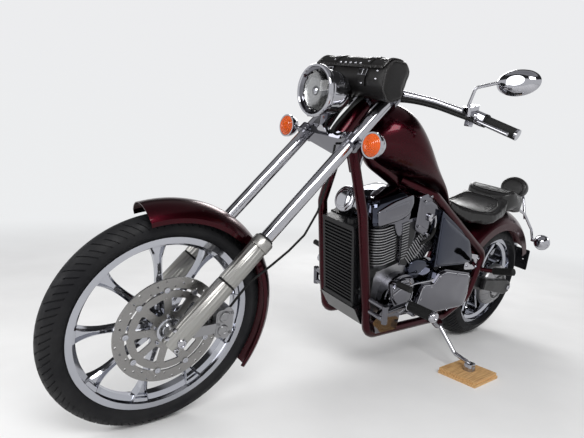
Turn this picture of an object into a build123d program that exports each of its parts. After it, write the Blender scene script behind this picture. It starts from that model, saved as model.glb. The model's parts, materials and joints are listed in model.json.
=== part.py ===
# Chopper motorcycle, parked on its side stand on a wooden board.
# Modelled upright: +X forward, +Y the rider's left, +Z up, rear axle over X = 0. The last section leans
# it onto the stand and centres it over the origin. Lengths in mm, angles in degrees.
import os
from math import cos, hypot, radians, sin

from build123d import *

os.makedirs("parts", exist_ok=True)

# Stance
WHEELBASE = 1805
LEAN = 9.75  # to the left, onto the stand
FORK_ANGLE = 41  # fork legs from the vertical
HEAD_ANGLE = 35  # steering axis from the vertical, in raked clamps
TRAIL = 92  # steering axis ahead of the front contact, at the ground
NECK_X = WHEELBASE - 631  # upper ends of the downtubes

# Clearances
FIT = 0.2  # radial, between pieces seated in one another
RUNNING = 0.3  # between a turning piece and what carries it

# Front wheel
FRONT_TYRE_R = 348
FRONT_TYRE_W = 92
FRONT_CROWN_R = 46
FRONT_BEAD_R = 267.7
FRONT_RIM_W = 68
# Rear wheel
REAR_TYRE_R = 329
REAR_TYRE_W = 200
REAR_CROWN_R = 102
REAR_BEAD_R = 228.6
REAR_RIM_W = 160
FLANGE_H = 13.5  # rim flange above the bead seat
RIM_WALL = 5.5
SPOKES = 9
AXLE_R = 12

# Fork
LEG_Y = 116
TUBE_R = 22.5
SLIDER_R = 29
SLIDER_TOP_R = 26
LEG_LOW = -32  # along the leg, from the axle
SLIDER_STEP = 270
SLIDER_TOP = 385
LOWER_CLAMP = 822
UPPER_CLAMP = 1035
CLAMP_T = 30
CLAMP_R = 34
CLAMP_ARM = 24  # half the depth of the arms at the legs
CAP_TOP = UPPER_CLAMP + 34
STEM_R = 14
HEAD_TUBE_R = 31
CROWN_RACE = 8

# Discs
FRONT_DISC_R = 168
FRONT_DISC_Y = 61
REAR_DISC_R = 148
REAR_DISC_Y = -101
DISC_T = 5
PAD_GAP = DISC_T + 6
DISC_BAND = 34

# Frame
TUBE_FRAME_R = 19
BACKBONE_R = 30
CRADLE_Y = 125
FRAME_BEND = 60

# Engine
CRANK_X = 830
CRANK_Z = 330
FRONT_BANK = 14  # cylinder lean ahead of the vertical
REAR_BANK = -38
FIN_COUNT = 14
FIN_PITCH = 12
FIN_T = 4.5
FIN_FIRST = 178
FIN_L = 172
FIN_W = 168
FIN_ROUND = 62
BARREL_R = 62


def axle_height(tyre_r, crown_r):
    """Height of an axle whose round crown meets the floor at this lean."""
    return tyre_r - crown_r + crown_r / cos(radians(LEAN))


FRONT_Z = axle_height(FRONT_TYRE_R, FRONT_CROWN_R)
REAR_Z = axle_height(REAR_TYRE_R, REAR_CROWN_R)

# Frames of reference
FRONT_AXLE = Axis((WHEELBASE, 0, FRONT_Z), (0, 1, 0))
REAR_AXLE = Axis((0, 0, REAR_Z), (0, 1, 0))


def wheel_section(axle_x, axle_z, angle=90):
    """Plane through an axle, X to the left and Y outward at an angle up from straight ahead."""
    turn = radians(angle)
    return Plane(origin=(axle_x, 0, axle_z), x_dir=(0, 1, 0), z_dir=(sin(turn), 0, -cos(turn)))


FRONT_SECTION = wheel_section(WHEELBASE, FRONT_Z)
REAR_SECTION = wheel_section(0, REAR_Z)
# X forward, Y up, normal to the right
FRONT_FACE = Plane(origin=(WHEELBASE, 0, FRONT_Z), x_dir=(1, 0, 0), z_dir=(0, -1, 0))
REAR_FACE = Plane(origin=(0, 0, REAR_Z), x_dir=(1, 0, 0), z_dir=(0, -1, 0))
SIDE = Plane.XZ  # X forward, Y up, normal to the right
fork_sin = sin(radians(FORK_ANGLE))
fork_cos = cos(radians(FORK_ANGLE))
# Normal up the legs, X ahead of them, Y to the left
FORK = Plane(
    origin=(WHEELBASE, 0, FRONT_Z),
    x_dir=(fork_cos, 0, fork_sin),
    z_dir=(-fork_sin, 0, fork_cos),
)
head_sin = sin(radians(HEAD_ANGLE))
head_cos = cos(radians(HEAD_ANGLE))
# Normal up the steering axis, from where it meets the ground
HEAD = Plane(
    origin=(WHEELBASE + TRAIL, 0, 0),
    x_dir=(head_cos, 0, head_sin),
    z_dir=(-head_sin, 0, head_cos),
)


def head_at(leg_distance):
    """(distance along the steering axis, offset behind the legs) level with a point on the legs."""
    rake = radians(FORK_ANGLE - HEAD_ANGLE)
    along = (leg_distance + TRAIL * fork_sin + FRONT_Z * fork_cos) / cos(rake)
    offset = TRAIL * fork_cos - FRONT_Z * fork_sin + along * sin(rake)
    return along, offset


def tube(points, radius, bend):
    """A round tube along points, with bends of one radius."""
    with BuildPart() as piece:
        with BuildLine() as path:
            FilletPolyline(*points, radius=bend)
        with BuildSketch(Plane(origin=path.wire() @ 0, z_dir=path.wire() % 0)):
            Circle(radius)
        sweep()
    return piece.part


def rod(start, end, radius):
    """A straight round bar from start to end."""
    length = (Vector(*end) - Vector(*start)).length
    with BuildPart() as piece:
        with BuildSketch(Plane(origin=start, z_dir=Vector(*end) - Vector(*start))):
            Circle(radius)
        extrude(amount=length)
    return piece.part


def both_sides(solid):
    """The solid and its mirror image across the centre plane."""
    with BuildPart() as pair:
        add(solid)
        mirror(about=Plane.XZ)
    return pair


def mirrored(solid):
    """The mirror image alone."""
    with BuildPart() as other:
        add(solid)
        mirror(about=Plane.XZ, mode=Mode.REPLACE)
    return other


def wheel_tyre(section, axle, tyre_r, tyre_w, crown_r, bead_r, rim_w):
    """A hollow tyre with a round crown, its beads inside the rim flanges."""
    half = tyre_w / 2
    bead = rim_w / 2 - 4
    shoulder = tyre_r - crown_r + (crown_r**2 - half**2) ** 0.5
    flange = bead_r + FLANGE_H + 1
    middle = (shoulder + flange) / 2
    wall = 9
    crown_in = crown_r - wall - 3
    with BuildPart() as tyre:
        with BuildSketch(section):
            with BuildLine():
                Line((-bead, bead_r), (-bead, flange))
                ThreePointArc((-bead, flange), (-(half + bead) / 2 - 3, middle), (-half, shoulder))
                ThreePointArc((-half, shoulder), (0, tyre_r), (half, shoulder))
                ThreePointArc((half, shoulder), ((half + bead) / 2 + 3, middle), (bead, flange))
                Line((bead, flange), (bead, bead_r))
                Line((bead, bead_r), (-bead, bead_r))
            make_face()
            with BuildLine():
                Line((-bead + wall, bead_r), (-bead + wall, flange))
                Line((-bead + wall, flange), (-half + wall, shoulder))
                ThreePointArc((-half + wall, shoulder), (0, tyre_r - crown_r + crown_in), (half - wall, shoulder))
                Line((half - wall, shoulder), (bead - wall, flange))
                Line((bead - wall, flange), (bead - wall, bead_r))
                Line((bead - wall, bead_r), (-bead + wall, bead_r))
            make_face(mode=Mode.SUBTRACT)
        revolve(axis=axle)
    return tyre


def spoke(face, inner_r, outer_r, thickness, outer_t):
    """One forged spoke along X: slim at mid length, flared at the rim, hollowed in both faces."""
    # columns: radius, width, thickness
    sections = (
        (inner_r, 26, thickness), (outer_r * 0.58, 21, thickness * 0.82),
        (outer_r * 0.84, 31, thickness * 0.94), (outer_r, 64, min(outer_t, thickness * 1.5)),
    )
    with BuildPart() as blade:
        for radius, width, depth in sections:
            with BuildSketch(Plane(origin=(radius, 0, 0), x_dir=(0, 1, 0), z_dir=(1, 0, 0))) as outline:
                Rectangle(width, depth)
                chamfer(outline.vertices(), 6)
        loft()
        for side in (-1, 1):
            with BuildSketch(Plane.XY.offset(side * 6)):
                with BuildLine():
                    Line((outer_r * 0.34, -4), (outer_r * 0.34, 4))
                    Line((outer_r * 0.34, 4), (outer_r * 0.7, 5.5))
                    ThreePointArc((outer_r * 0.7, 5.5), (outer_r * 0.84, 9), (outer_r - 14, 21))
                    Line((outer_r - 14, 21), (outer_r - 14, -21))
                    ThreePointArc((outer_r - 14, -21), (outer_r * 0.84, -9), (outer_r * 0.7, -5.5))
                    Line((outer_r * 0.7, -5.5), (outer_r * 0.34, -4))
                make_face()
            extrude(amount=side * thickness, mode=Mode.SUBTRACT)
    return blade.part


def wheel_rim(section, face, axle, bead_r, rim_w, hub_left, hub_right, spoke_t):
    """A drop-centre rim, a hub with its bore, and flared spokes with a hollow in each face."""
    half = rim_w / 2
    well = bead_r - 14
    flange = bead_r + FLANGE_H
    inner = well - RIM_WALL
    hub_r = 42
    blade = spoke(face, hub_r - 8, bead_r - 2, spoke_t, rim_w - 14)
    with BuildPart() as rim:
        with BuildSketch(section):
            with BuildLine():
                Polyline(
                    (-half, flange), (-half + 4, flange), (-half + 4, bead_r), (-half + 17, bead_r),
                    (-half + 24, well), (half - 24, well), (half - 17, bead_r), (half - 4, bead_r),
                    (half - 4, flange), (half, flange), (half, bead_r - RIM_WALL),
                    (half - 17, bead_r - RIM_WALL), (half - 26, inner), (-half + 26, inner),
                    (-half + 17, bead_r - RIM_WALL), (-half, bead_r - RIM_WALL), close=True,
                )
            make_face()
        revolve(axis=axle)
        with BuildSketch(face.offset(-hub_left)):
            Circle(hub_r)
        extrude(amount=hub_left + hub_right)
        for index in range(SPOKES):
            add(blade.moved(face.location * Location((0, 0, 0), (0, 0, index * 360 / SPOKES))))
        with BuildSketch(section):
            with BuildLine():
                Polyline(
                    (-half + 17, bead_r), (-half + 24, well), (half - 24, well), (half - 17, bead_r),
                    (half - 17, flange), (-half + 17, flange), close=True,
                )
            make_face()
        revolve(axis=axle, mode=Mode.SUBTRACT)
        with BuildSketch(face.offset(-hub_left)):
            Circle(AXLE_R + RUNNING)
        extrude(amount=hub_left + hub_right, mode=Mode.SUBTRACT)
    return rim


def brake_disc(face, disc_r, disc_y, seat_y, bobbins, holes):
    """A floating disc: a drilled band on bobbins round a windowed carrier seated on the hub."""
    band_in = disc_r - DISC_BAND
    carrier_r = band_in - 7
    hat = abs(disc_y) - DISC_T / 2 - abs(seat_y)
    hat_start = disc_y - DISC_T / 2 if disc_y > 0 else seat_y
    with BuildSketch() as window:
        with BuildLine():
            corners = [(carrier_r * r, turn) for r, turn in ((0.47, 9), (0.47, -9), (0.85, -14), (0.85, 14))]
            Polyline(*[(r * cos(radians(turn)), r * sin(radians(turn))) for r, turn in corners], close=True)
        make_face()
        fillet(window.vertices(), 6)
    with BuildPart() as disc:
        with BuildSketch(face.offset(-disc_y - DISC_T / 2)):
            Circle(disc_r)
            Circle(band_in, mode=Mode.SUBTRACT)
            for row in range(3):
                with PolarLocations(band_in + 8 + row * 9, holes, start_angle=row * 360 / holes / 3):
                    Circle(3.6, mode=Mode.SUBTRACT)
        extrude(amount=DISC_T)
        with BuildSketch(face.offset(-disc_y - DISC_T / 2)):
            Circle(carrier_r)
            Circle(AXLE_R + 14, mode=Mode.SUBTRACT)
            with PolarLocations(0, bobbins, start_angle=180 / bobbins):
                add(window.sketch, mode=Mode.SUBTRACT)
        extrude(amount=DISC_T)
        with BuildSketch(face.offset(-disc_y - DISC_T / 2 - 2)):
            with PolarLocations(band_in - 2, bobbins):
                Circle(10)
                Circle(4, mode=Mode.SUBTRACT)
        extrude(amount=DISC_T + 4)
        with BuildSketch(face.offset(-hat_start)):
            Circle(42)
            Circle(AXLE_R + 14, mode=Mode.SUBTRACT)
        extrude(amount=hat)
    return disc


# Wheels
HUB_FRONT = 56
HUB_REAR = 92
front_tyre = wheel_tyre(
    FRONT_SECTION, FRONT_AXLE, FRONT_TYRE_R, FRONT_TYRE_W, FRONT_CROWN_R, FRONT_BEAD_R, FRONT_RIM_W
)
rear_tyre = wheel_tyre(
    REAR_SECTION, REAR_AXLE, REAR_TYRE_R, REAR_TYRE_W, REAR_CROWN_R, REAR_BEAD_R, REAR_RIM_W
)
front_rim = wheel_rim(
    FRONT_SECTION, FRONT_FACE, FRONT_AXLE, FRONT_BEAD_R, FRONT_RIM_W, HUB_FRONT, HUB_FRONT, 32
)
rear_rim = wheel_rim(
    REAR_SECTION, REAR_FACE, REAR_AXLE, REAR_BEAD_R, REAR_RIM_W, HUB_REAR, HUB_REAR, 60
)
front_disc = brake_disc(FRONT_FACE, FRONT_DISC_R, FRONT_DISC_Y, HUB_FRONT, 9, 12)
rear_disc = brake_disc(REAR_FACE, REAR_DISC_R, REAR_DISC_Y, -HUB_REAR, 8, 10)

# Fork lowers with the axle through them
with BuildPart() as fork_lowers:
    with BuildSketch(FORK.offset(LEG_LOW)):
        with Locations((0, LEG_Y), (0, -LEG_Y)):
            Circle(SLIDER_R)
    extrude(amount=SLIDER_STEP - LEG_LOW)
    with BuildSketch(FORK.offset(SLIDER_STEP)):
        with Locations((0, LEG_Y), (0, -LEG_Y)):
            Circle(SLIDER_TOP_R)
    extrude(amount=SLIDER_TOP - SLIDER_STEP)
    with BuildSketch(FORK.offset(SLIDER_STEP + 20)):
        with Locations((0, LEG_Y), (0, -LEG_Y)):
            Circle(TUBE_R + FIT)
    extrude(amount=SLIDER_TOP - SLIDER_STEP - 20, mode=Mode.SUBTRACT)
    with BuildSketch(FRONT_FACE.offset(-LEG_Y - SLIDER_R - 3)):
        Circle(AXLE_R)
    extrude(amount=2 * (LEG_Y + SLIDER_R + 3))
    for side in (1, -1):
        with BuildSketch(FRONT_FACE.offset(-side * (HUB_FRONT + RUNNING))):
            Circle(AXLE_R + 7)
        extrude(amount=-side * (LEG_Y - SLIDER_R + 4 - HUB_FRONT))

# Fork tubes with their caps
with BuildPart() as fork_tubes:
    with BuildSketch(FORK.offset(SLIDER_STEP + 20)):
        with Locations((0, LEG_Y), (0, -LEG_Y)):
            Circle(TUBE_R)
    extrude(amount=CAP_TOP - 8 - SLIDER_STEP - 20)
    with BuildSketch(FORK.offset(CAP_TOP - 12)):
        with Locations((0, LEG_Y), (0, -LEG_Y)):
            RegularPolygon(TUBE_R - 2, 6)
    extrude(amount=12)

# Triple clamps with the steering stem
low_along, low_offset = head_at(LOWER_CLAMP)
up_along, up_offset = head_at(UPPER_CLAMP)
head_low = low_along + CLAMP_T / 2 + CROWN_RACE
head_high = up_along - CLAMP_T / 2 - CROWN_RACE
with BuildPart() as triple_clamps:
    for level, stem_ahead in ((LOWER_CLAMP, low_offset), (UPPER_CLAMP, up_offset)):
        with BuildSketch(FORK.offset(level - CLAMP_T / 2)):
            with BuildSketch(mode=Mode.PRIVATE) as outline:
                with Locations((0, LEG_Y), (0, -LEG_Y)):
                    Circle(CLAMP_ARM)
                with Locations((stem_ahead, 0)):
                    Circle(CLAMP_R)
                make_hull()
            add(outline.sketch)
            with Locations((0, LEG_Y), (0, -LEG_Y)):
                Circle(CLAMP_R)
        extrude(amount=CLAMP_T)
    with BuildSketch(FORK.offset(LOWER_CLAMP - CLAMP_T / 2)):
        with Locations((0, LEG_Y), (0, -LEG_Y)):
            Circle(TUBE_R + FIT)
    extrude(amount=UPPER_CLAMP - LOWER_CLAMP + CLAMP_T, mode=Mode.SUBTRACT)
    with BuildSketch(HEAD.offset(low_along - 4)):
        Circle(STEM_R)
    extrude(amount=up_along - low_along + CLAMP_T / 2 + 12)
    with BuildSketch(HEAD.offset(low_along)):
        Circle(HEAD_TUBE_R - 3)
    extrude(amount=head_low - RUNNING - low_along)
    with BuildSketch(HEAD.offset(head_high + RUNNING)):
        Circle(HEAD_TUBE_R - 3)
    extrude(amount=up_along - head_high - RUNNING)
    with BuildSketch(HEAD.offset(up_along + CLAMP_T / 2)):
        RegularPolygon(18, 6)
    extrude(amount=10)

# Handlebar on two risers
BAR_R = 14
BAR_X = WHEELBASE - 738
BAR_Z = 1157
GRIP_OUT = (BAR_X - 217, 440, 1090)
GRIP_IN = (BAR_X - 199, 318, 1121)
BAR_BEND = (BAR_X - 82, 195, 1149)
BAR_END = 8
riser_foot = FORK.location * Location((up_offset - 14, 48, UPPER_CLAMP + CLAMP_T / 2))
left_half = [GRIP_OUT, GRIP_IN, BAR_BEND, (BAR_X, 105, BAR_Z)]
bar_line = left_half + [(x, -y, z) for x, y, z in reversed(left_half)]
bar_tube = tube(bar_line, BAR_R, 45)
bar_room = tube(bar_line, BAR_R + FIT, 45)
riser = rod(riser_foot.position, (BAR_X, 48, BAR_Z), 15)
grip_dir = (Vector(*GRIP_OUT) - Vector(*GRIP_IN)).normalized()
bar_tip = Vector(*GRIP_OUT) + grip_dir * BAR_END
tip_cap = rod(GRIP_OUT, bar_tip, BAR_R + 5)
risers = both_sides(riser).part
tip_caps = both_sides(tip_cap).part
with BuildPart() as handlebar:
    add(bar_tube)
    add(risers)
    add(tip_caps)
    split(bisect_by=FORK.offset(UPPER_CLAMP + CLAMP_T / 2), keep=Keep.TOP)

# Grips
GRIP_L = 112
GRIP_R = 18.5
grip_start = Vector(*GRIP_OUT) - grip_dir * GRIP_L
grip_plane = Plane(origin=grip_start, z_dir=grip_dir)
with BuildPart() as grip_left:
    with BuildSketch(grip_plane):
        Circle(GRIP_R)
        Circle(BAR_R + FIT, mode=Mode.SUBTRACT)
    extrude(amount=GRIP_L - FIT)
    with BuildSketch(grip_plane):
        Circle(GRIP_R + 4)
        Circle(BAR_R + FIT, mode=Mode.SUBTRACT)
    extrude(amount=5)
grips = both_sides(grip_left.part)

# Handlebar controls: switch pod, perch with reservoir, and lever
pod_plane = Plane(origin=grip_start - grip_dir * 2, x_dir=(-1, 0, 0), z_dir=-grip_dir)
lever_line = tube(
    [
        (grip_start + Vector(22, -34, 2)),
        (grip_start + Vector(66, 2, -6)),
        (grip_start + Vector(62, 120, -34)),
    ],
    6,
    20,
)
with BuildPart() as control_left:
    with BuildSketch(pod_plane):
        RectangleRounded(44, 46, 10)
    extrude(amount=34)
    with BuildSketch(pod_plane.offset(34)):
        RectangleRounded(36, 34, 8)
    extrude(amount=26)
    add(lever_line)
    with BuildSketch(Plane(origin=grip_start + Vector(30, -45, 12), z_dir=(0.3, 0, 1))):
        RectangleRounded(62, 34, 9)
    extrude(amount=30)
    with BuildSketch(Plane(origin=grip_start + Vector(22, -38, 2), z_dir=(0, -1, 0))):
        RectangleRounded(60, 26, 6)
    extrude(amount=18)
    add(bar_room, mode=Mode.SUBTRACT)
handlebar_controls = both_sides(control_left.part)

# Mirrors
MIRROR_C = (BAR_X - 209, 405, 1252)
MIRROR_L = 140
MIRROR_H = 88
MIRROR_D = 30
mirror_plane = Plane(origin=MIRROR_C, x_dir=(-0.12, 1, 0.14), z_dir=(1, 0.12, 0.1))
stem_foot = grip_start + Vector(34, -58, 40)
stem = tube(
    [
        stem_foot,
        (stem_foot + Vector(6, 14, 62)),
        (mirror_plane.location * Location((-MIRROR_L * 0.36, 0, MIRROR_D * 0.5))).position,
    ],
    5.5,
    18,
)
with BuildPart() as mirror_left:
    with BuildSketch(mirror_plane):
        Ellipse(MIRROR_L / 2, MIRROR_H / 2)
    with BuildSketch(mirror_plane.offset(MIRROR_D * 0.6)):
        Ellipse(MIRROR_L / 2 * 0.84, MIRROR_H / 2 * 0.8)
    with BuildSketch(mirror_plane.offset(MIRROR_D)):
        Ellipse(MIRROR_L / 2 * 0.4, MIRROR_H / 2 * 0.36)
    loft()
    with BuildSketch(mirror_plane):
        Ellipse(MIRROR_L / 2 - 5, MIRROR_H / 2 - 5)
    extrude(amount=4, mode=Mode.SUBTRACT)
    add(stem)
    add(control_left.part, mode=Mode.SUBTRACT)
mirror_shells = both_sides(mirror_left.part)
with BuildPart() as glass_left:
    with BuildSketch(mirror_plane.offset(1.5)):
        Ellipse(MIRROR_L / 2 - 5 - FIT, MIRROR_H / 2 - 5 - FIT)
    extrude(amount=2.5)
mirror_glasses = both_sides(glass_left.part)

# Headlight
LAMP_X = WHEELBASE - 455
LAMP_Z = 1113
LAMP_R = 80
LAMP_L = 128
LAMP_TILT = 4
LAMP = Plane(
    origin=(LAMP_X, 0, LAMP_Z),
    x_dir=(0, 1, 0),
    z_dir=(sin(radians(LAMP_TILT)), 0, cos(radians(LAMP_TILT))),
)
lamp_axis = Axis((LAMP_X, 0, LAMP_Z), (cos(radians(LAMP_TILT)), 0, -sin(radians(LAMP_TILT))))
lamp_section = Plane(origin=(LAMP_X, 0, LAMP_Z), x_dir=lamp_axis.direction, z_dir=(0, -1, 0))
with BuildPart() as headlight_shell:
    with BuildSketch(lamp_section):
        with BuildLine():
            Line((-LAMP_L, 0), (-LAMP_L, 24))
            ThreePointArc((-LAMP_L, 24), (-LAMP_L * 0.72, 60), (-LAMP_L * 0.34, LAMP_R - 7))
            Polyline(
                (-LAMP_L * 0.34, LAMP_R - 7), (-8, LAMP_R - 4), (-6, LAMP_R), (14, LAMP_R),
                (16, LAMP_R - 4), (4, LAMP_R - 10), (-10, LAMP_R - 10), (-10, 0), (-LAMP_L, 0),
            )
        make_face()
    revolve(axis=lamp_axis)
lens_r = LAMP_R - 10 - FIT
with BuildPart() as headlight_lens:
    with BuildSketch(lamp_section):
        with BuildLine():
            Polyline((22, 3), (22, 0), (-10 + FIT, 0), (-10 + FIT, lens_r), (3, lens_r))
            ThreePointArc((3, lens_r), (17, 38), (22, 3))
        make_face()
    revolve(axis=lamp_axis)

# Headlight bracket from the lower clamp
bracket_low = FORK.location * Location((CLAMP_R - 10 + FIT, 0, LOWER_CLAMP))
with BuildPart() as headlight_bracket:
    with BuildSketch(SIDE.offset(-22)):
        with BuildLine():
            Polyline(
                (bracket_low.position.X, bracket_low.position.Z - 10),
                (bracket_low.position.X + 42, bracket_low.position.Z + 22),
                (LAMP_X - 62, LAMP_Z - 62),
                (LAMP_X - 96, LAMP_Z - 58),
                (bracket_low.position.X + 4, bracket_low.position.Z + 12),
                close=True,
            )
        make_face()
    extrude(amount=44)
    add(headlight_shell.part, mode=Mode.SUBTRACT)
    with BuildSketch(FORK.offset(LOWER_CLAMP - 60)):
        Rectangle(2 * (CLAMP_R - 8 + 0.8), 200)
    extrude(amount=120, mode=Mode.SUBTRACT)
with BuildPart() as headlight_body:
    add(headlight_shell.part)
    add(headlight_bracket.part)

# Tool bag strapped over the handlebar, resting on the fork caps
BAG_L = 352
bag_at = BAR_X + 115
# columns: X and Z of the section's corners, X from the middle
BAG = ((-62, 1226), (-34, 1250), (24, 1246), (52, 1222), (54, 1150), (14, 1112), (-46, 1132))
with BuildPart() as handlebar_bag:
    with BuildSketch(SIDE.offset(-BAG_L / 2)) as bag_section:
        with BuildLine():
            Polyline(*[(bag_at + x, z) for x, z in BAG], close=True)
        make_face()
        fillet(bag_section.vertices(), 20)
    extrude(amount=BAG_L)
    fillet(handlebar_bag.faces().sort_by(Axis.Y)[0].edges(), 10)
    fillet(handlebar_bag.faces().sort_by(Axis.Y)[-1].edges(), 10)
    add(fork_tubes.part, mode=Mode.SUBTRACT)
    add(triple_clamps.part, mode=Mode.SUBTRACT)
    add(handlebar.part, mode=Mode.SUBTRACT)
    add(headlight_shell.part, mode=Mode.SUBTRACT)

# Gauge behind the bag
gauge_stay = rod((BAR_X, 0, BAR_Z), (BAR_X - 42, 0, BAR_Z + 10), 12)
with BuildPart() as gauge:
    with BuildSketch(Plane(origin=(BAR_X - 40, 0, BAR_Z + 2), z_dir=(-0.5, 0, 1))):
        Circle(37)
    extrude(amount=30)
    add(gauge_stay)
    add(bar_room, mode=Mode.SUBTRACT)

# Front signals on stalks from the lower clamp
SIGNAL_Y = 221
SIGNAL_R = 42
SIGNAL_L = 62
signal_at = (FORK.location * Location((CLAMP_R * 0.3, SIGNAL_Y, LOWER_CLAMP))).position


def signal_section(x, y, z):
    """Plane through a signal's axis, X ahead and Y up."""
    return Plane(origin=(x, y, z), x_dir=(1, 0, 0), z_dir=(0, -1, 0))


def signal_housing(x, y, z, stalk):
    """A round bullet housing, open ahead for its lens, on a stalk."""
    with BuildPart() as housing:
        with BuildSketch(signal_section(x, y, z)):
            with BuildLine():
                Line((-SIGNAL_L * 0.62, 0), (-SIGNAL_L * 0.62, 10))
                ThreePointArc((-SIGNAL_L * 0.62, 10), (-SIGNAL_L * 0.34, 32), (0, SIGNAL_R - 3))
                Polyline(
                    (0, SIGNAL_R - 3), (2, SIGNAL_R), (12, SIGNAL_R), (12, SIGNAL_R - 5),
                    (4, SIGNAL_R - 5), (4, 0), (-SIGNAL_L * 0.62, 0),
                )
            make_face()
        revolve(axis=Axis((x, y, z), (1, 0, 0)))
        add(stalk)
    return housing.part


def signal_lens(x, y, z, facing):
    """The domed lens seated in a signal housing, facing ahead (1) or back (-1)."""
    edge = SIGNAL_R - 5 - FIT
    with BuildPart() as lens:
        with BuildSketch(Plane(origin=(x, y, z), x_dir=(facing, 0, 0), z_dir=(0, -facing, 0))):
            with BuildLine():
                Polyline((26, 2), (26, 0), (4 + FIT, 0), (4 + FIT, edge), (12, edge))
                ThreePointArc((12, edge), (22, 21), (26, 2))
            make_face()
        revolve(axis=Axis((x, y, z), (1, 0, 0)))
    return lens.part


def turned_back(solid, x):
    """The solid mirrored fore and aft about x."""
    with BuildPart() as turned:
        add(solid)
        mirror(about=Plane.YZ.offset(x), mode=Mode.REPLACE)
    return turned.part


stalk_from = (signal_at.X - 12, LEG_Y + CLAMP_R - 2, signal_at.Z)
front_stalk = rod(stalk_from, (signal_at.X - 12, SIGNAL_Y - 20, signal_at.Z), 8)
signal_left = signal_housing(*signal_at, front_stalk)
with BuildPart() as signal_stalk_left:
    add(signal_left)
    with BuildSketch(FORK.offset(LOWER_CLAMP - 60)):
        with Locations((0, LEG_Y)):
            Circle(CLAMP_R + FIT)
    extrude(amount=120, mode=Mode.SUBTRACT)
front_signal_housings = both_sides(signal_stalk_left.part)
with BuildPart() as front_signal_lenses:
    add(signal_lens(*signal_at, 1))
    add(signal_lens(signal_at.X, -signal_at.Y, signal_at.Z, 1))

# Front fender with its brackets to the legs
FENDER_R = 388
FENDER_W = 138
FENDER_T = 3
FENDER_TIP = 74  # degrees round the axle from straight ahead
FENDER_END = 213
SKIRT_R = 334


def fender_outline(outer_r, width, sheet, skirt_r, drop):
    """Edges of a half-round sheet over the tyre with straight skirts, in a wheel section."""
    half = width / 2
    with BuildLine() as outline:
        Line((-half, skirt_r), (-half, outer_r - drop))
        ThreePointArc((-half, outer_r - drop), (0, outer_r), (half, outer_r - drop))
        Line((half, outer_r - drop), (half, skirt_r))
        Line((half, skirt_r), (half - sheet, skirt_r))
        Line((half - sheet, skirt_r), (half - sheet, outer_r - drop))
        ThreePointArc((half - sheet, outer_r - drop), (0, outer_r - sheet), (-half + sheet, outer_r - drop))
        Line((-half + sheet, outer_r - drop), (-half + sheet, skirt_r))
        Line((-half + sheet, skirt_r), (-half, skirt_r))
    return outline.edges()


with BuildPart() as front_fender:
    with BuildSketch(wheel_section(WHEELBASE, FRONT_Z, FENDER_END)):
        make_face(fender_outline(FENDER_R, FENDER_W, FENDER_T, SKIRT_R, 40))
    revolve(axis=FRONT_AXLE, revolution_arc=FENDER_END - FENDER_TIP)
    for side in (1, -1):
        with BuildSketch(FORK.offset(340)):
            with Locations((0, side * (FENDER_W / 2 + LEG_Y - SLIDER_TOP_R) / 2)):
                Rectangle(44, LEG_Y - SLIDER_TOP_R - FENDER_W / 2 + 8)
        extrude(amount=26)
    with BuildSketch(FORK.offset(300)):
        with Locations((0, LEG_Y), (0, -LEG_Y)):
            Circle(SLIDER_TOP_R + FIT)
    extrude(amount=100, mode=Mode.SUBTRACT)

# Front caliper on its leg
CALIPER_R = 172  # from the axle to the middle of the body
CALIPER_TURN = 178  # degrees round the axle from straight ahead
CALIPER_L = 96
CALIPER_H = 62
CALIPER_W = 54
caliper_face = Plane(
    origin=(WHEELBASE, FRONT_DISC_Y, FRONT_Z),
    x_dir=(cos(radians(CALIPER_TURN)), 0, sin(radians(CALIPER_TURN))),
    z_dir=(0, -1, 0),
)
with BuildPart() as front_caliper:
    with BuildSketch(caliper_face.offset(-CALIPER_W / 2)):
        with Locations((CALIPER_R, 0)):
            RectangleRounded(CALIPER_H, CALIPER_L, 16)
        with Locations((CALIPER_R + 8, CALIPER_L / 2 - 10), (CALIPER_R + 8, -CALIPER_L / 2 + 10)):
            Circle(17)
    extrude(amount=CALIPER_W)
    with BuildSketch(caliper_face.offset(-PAD_GAP / 2)):
        Circle(FRONT_DISC_R + 5)
    extrude(amount=PAD_GAP, mode=Mode.SUBTRACT)
    with BuildSketch(caliper_face.offset(-CALIPER_W / 2)):
        with Locations((CALIPER_R - 62, 12)):
            Rectangle(80, 34)
    extrude(amount=10)
    with BuildSketch(FORK.offset(LEG_LOW)):
        with Locations((0, LEG_Y)):
            Circle(SLIDER_R + FIT)
    extrude(amount=SLIDER_TOP, mode=Mode.SUBTRACT)

# Front brake hose, from the caliper up behind the leg to the lower clamp
HOSE_R = 4
hose_points = [
    (WHEELBASE - 178, FRONT_DISC_Y + CALIPER_W / 2 - 6, FRONT_Z + CALIPER_L / 2 - 2),
    (WHEELBASE - 245, 84, 486),
    (WHEELBASE - 325, 84, 540),
    (WHEELBASE - 405, 60, 575),
    (WHEELBASE - 475, 46, 625),
    (WHEELBASE - 517, 46, 712),
    (WHEELBASE - 537, 46, 850),
    (WHEELBASE - 535, 46, 949),
]
hose_run = tube(hose_points, HOSE_R, 24)
with BuildPart() as front_brake_hose:
    add(hose_run)
    add(front_caliper.part, mode=Mode.SUBTRACT)

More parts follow.
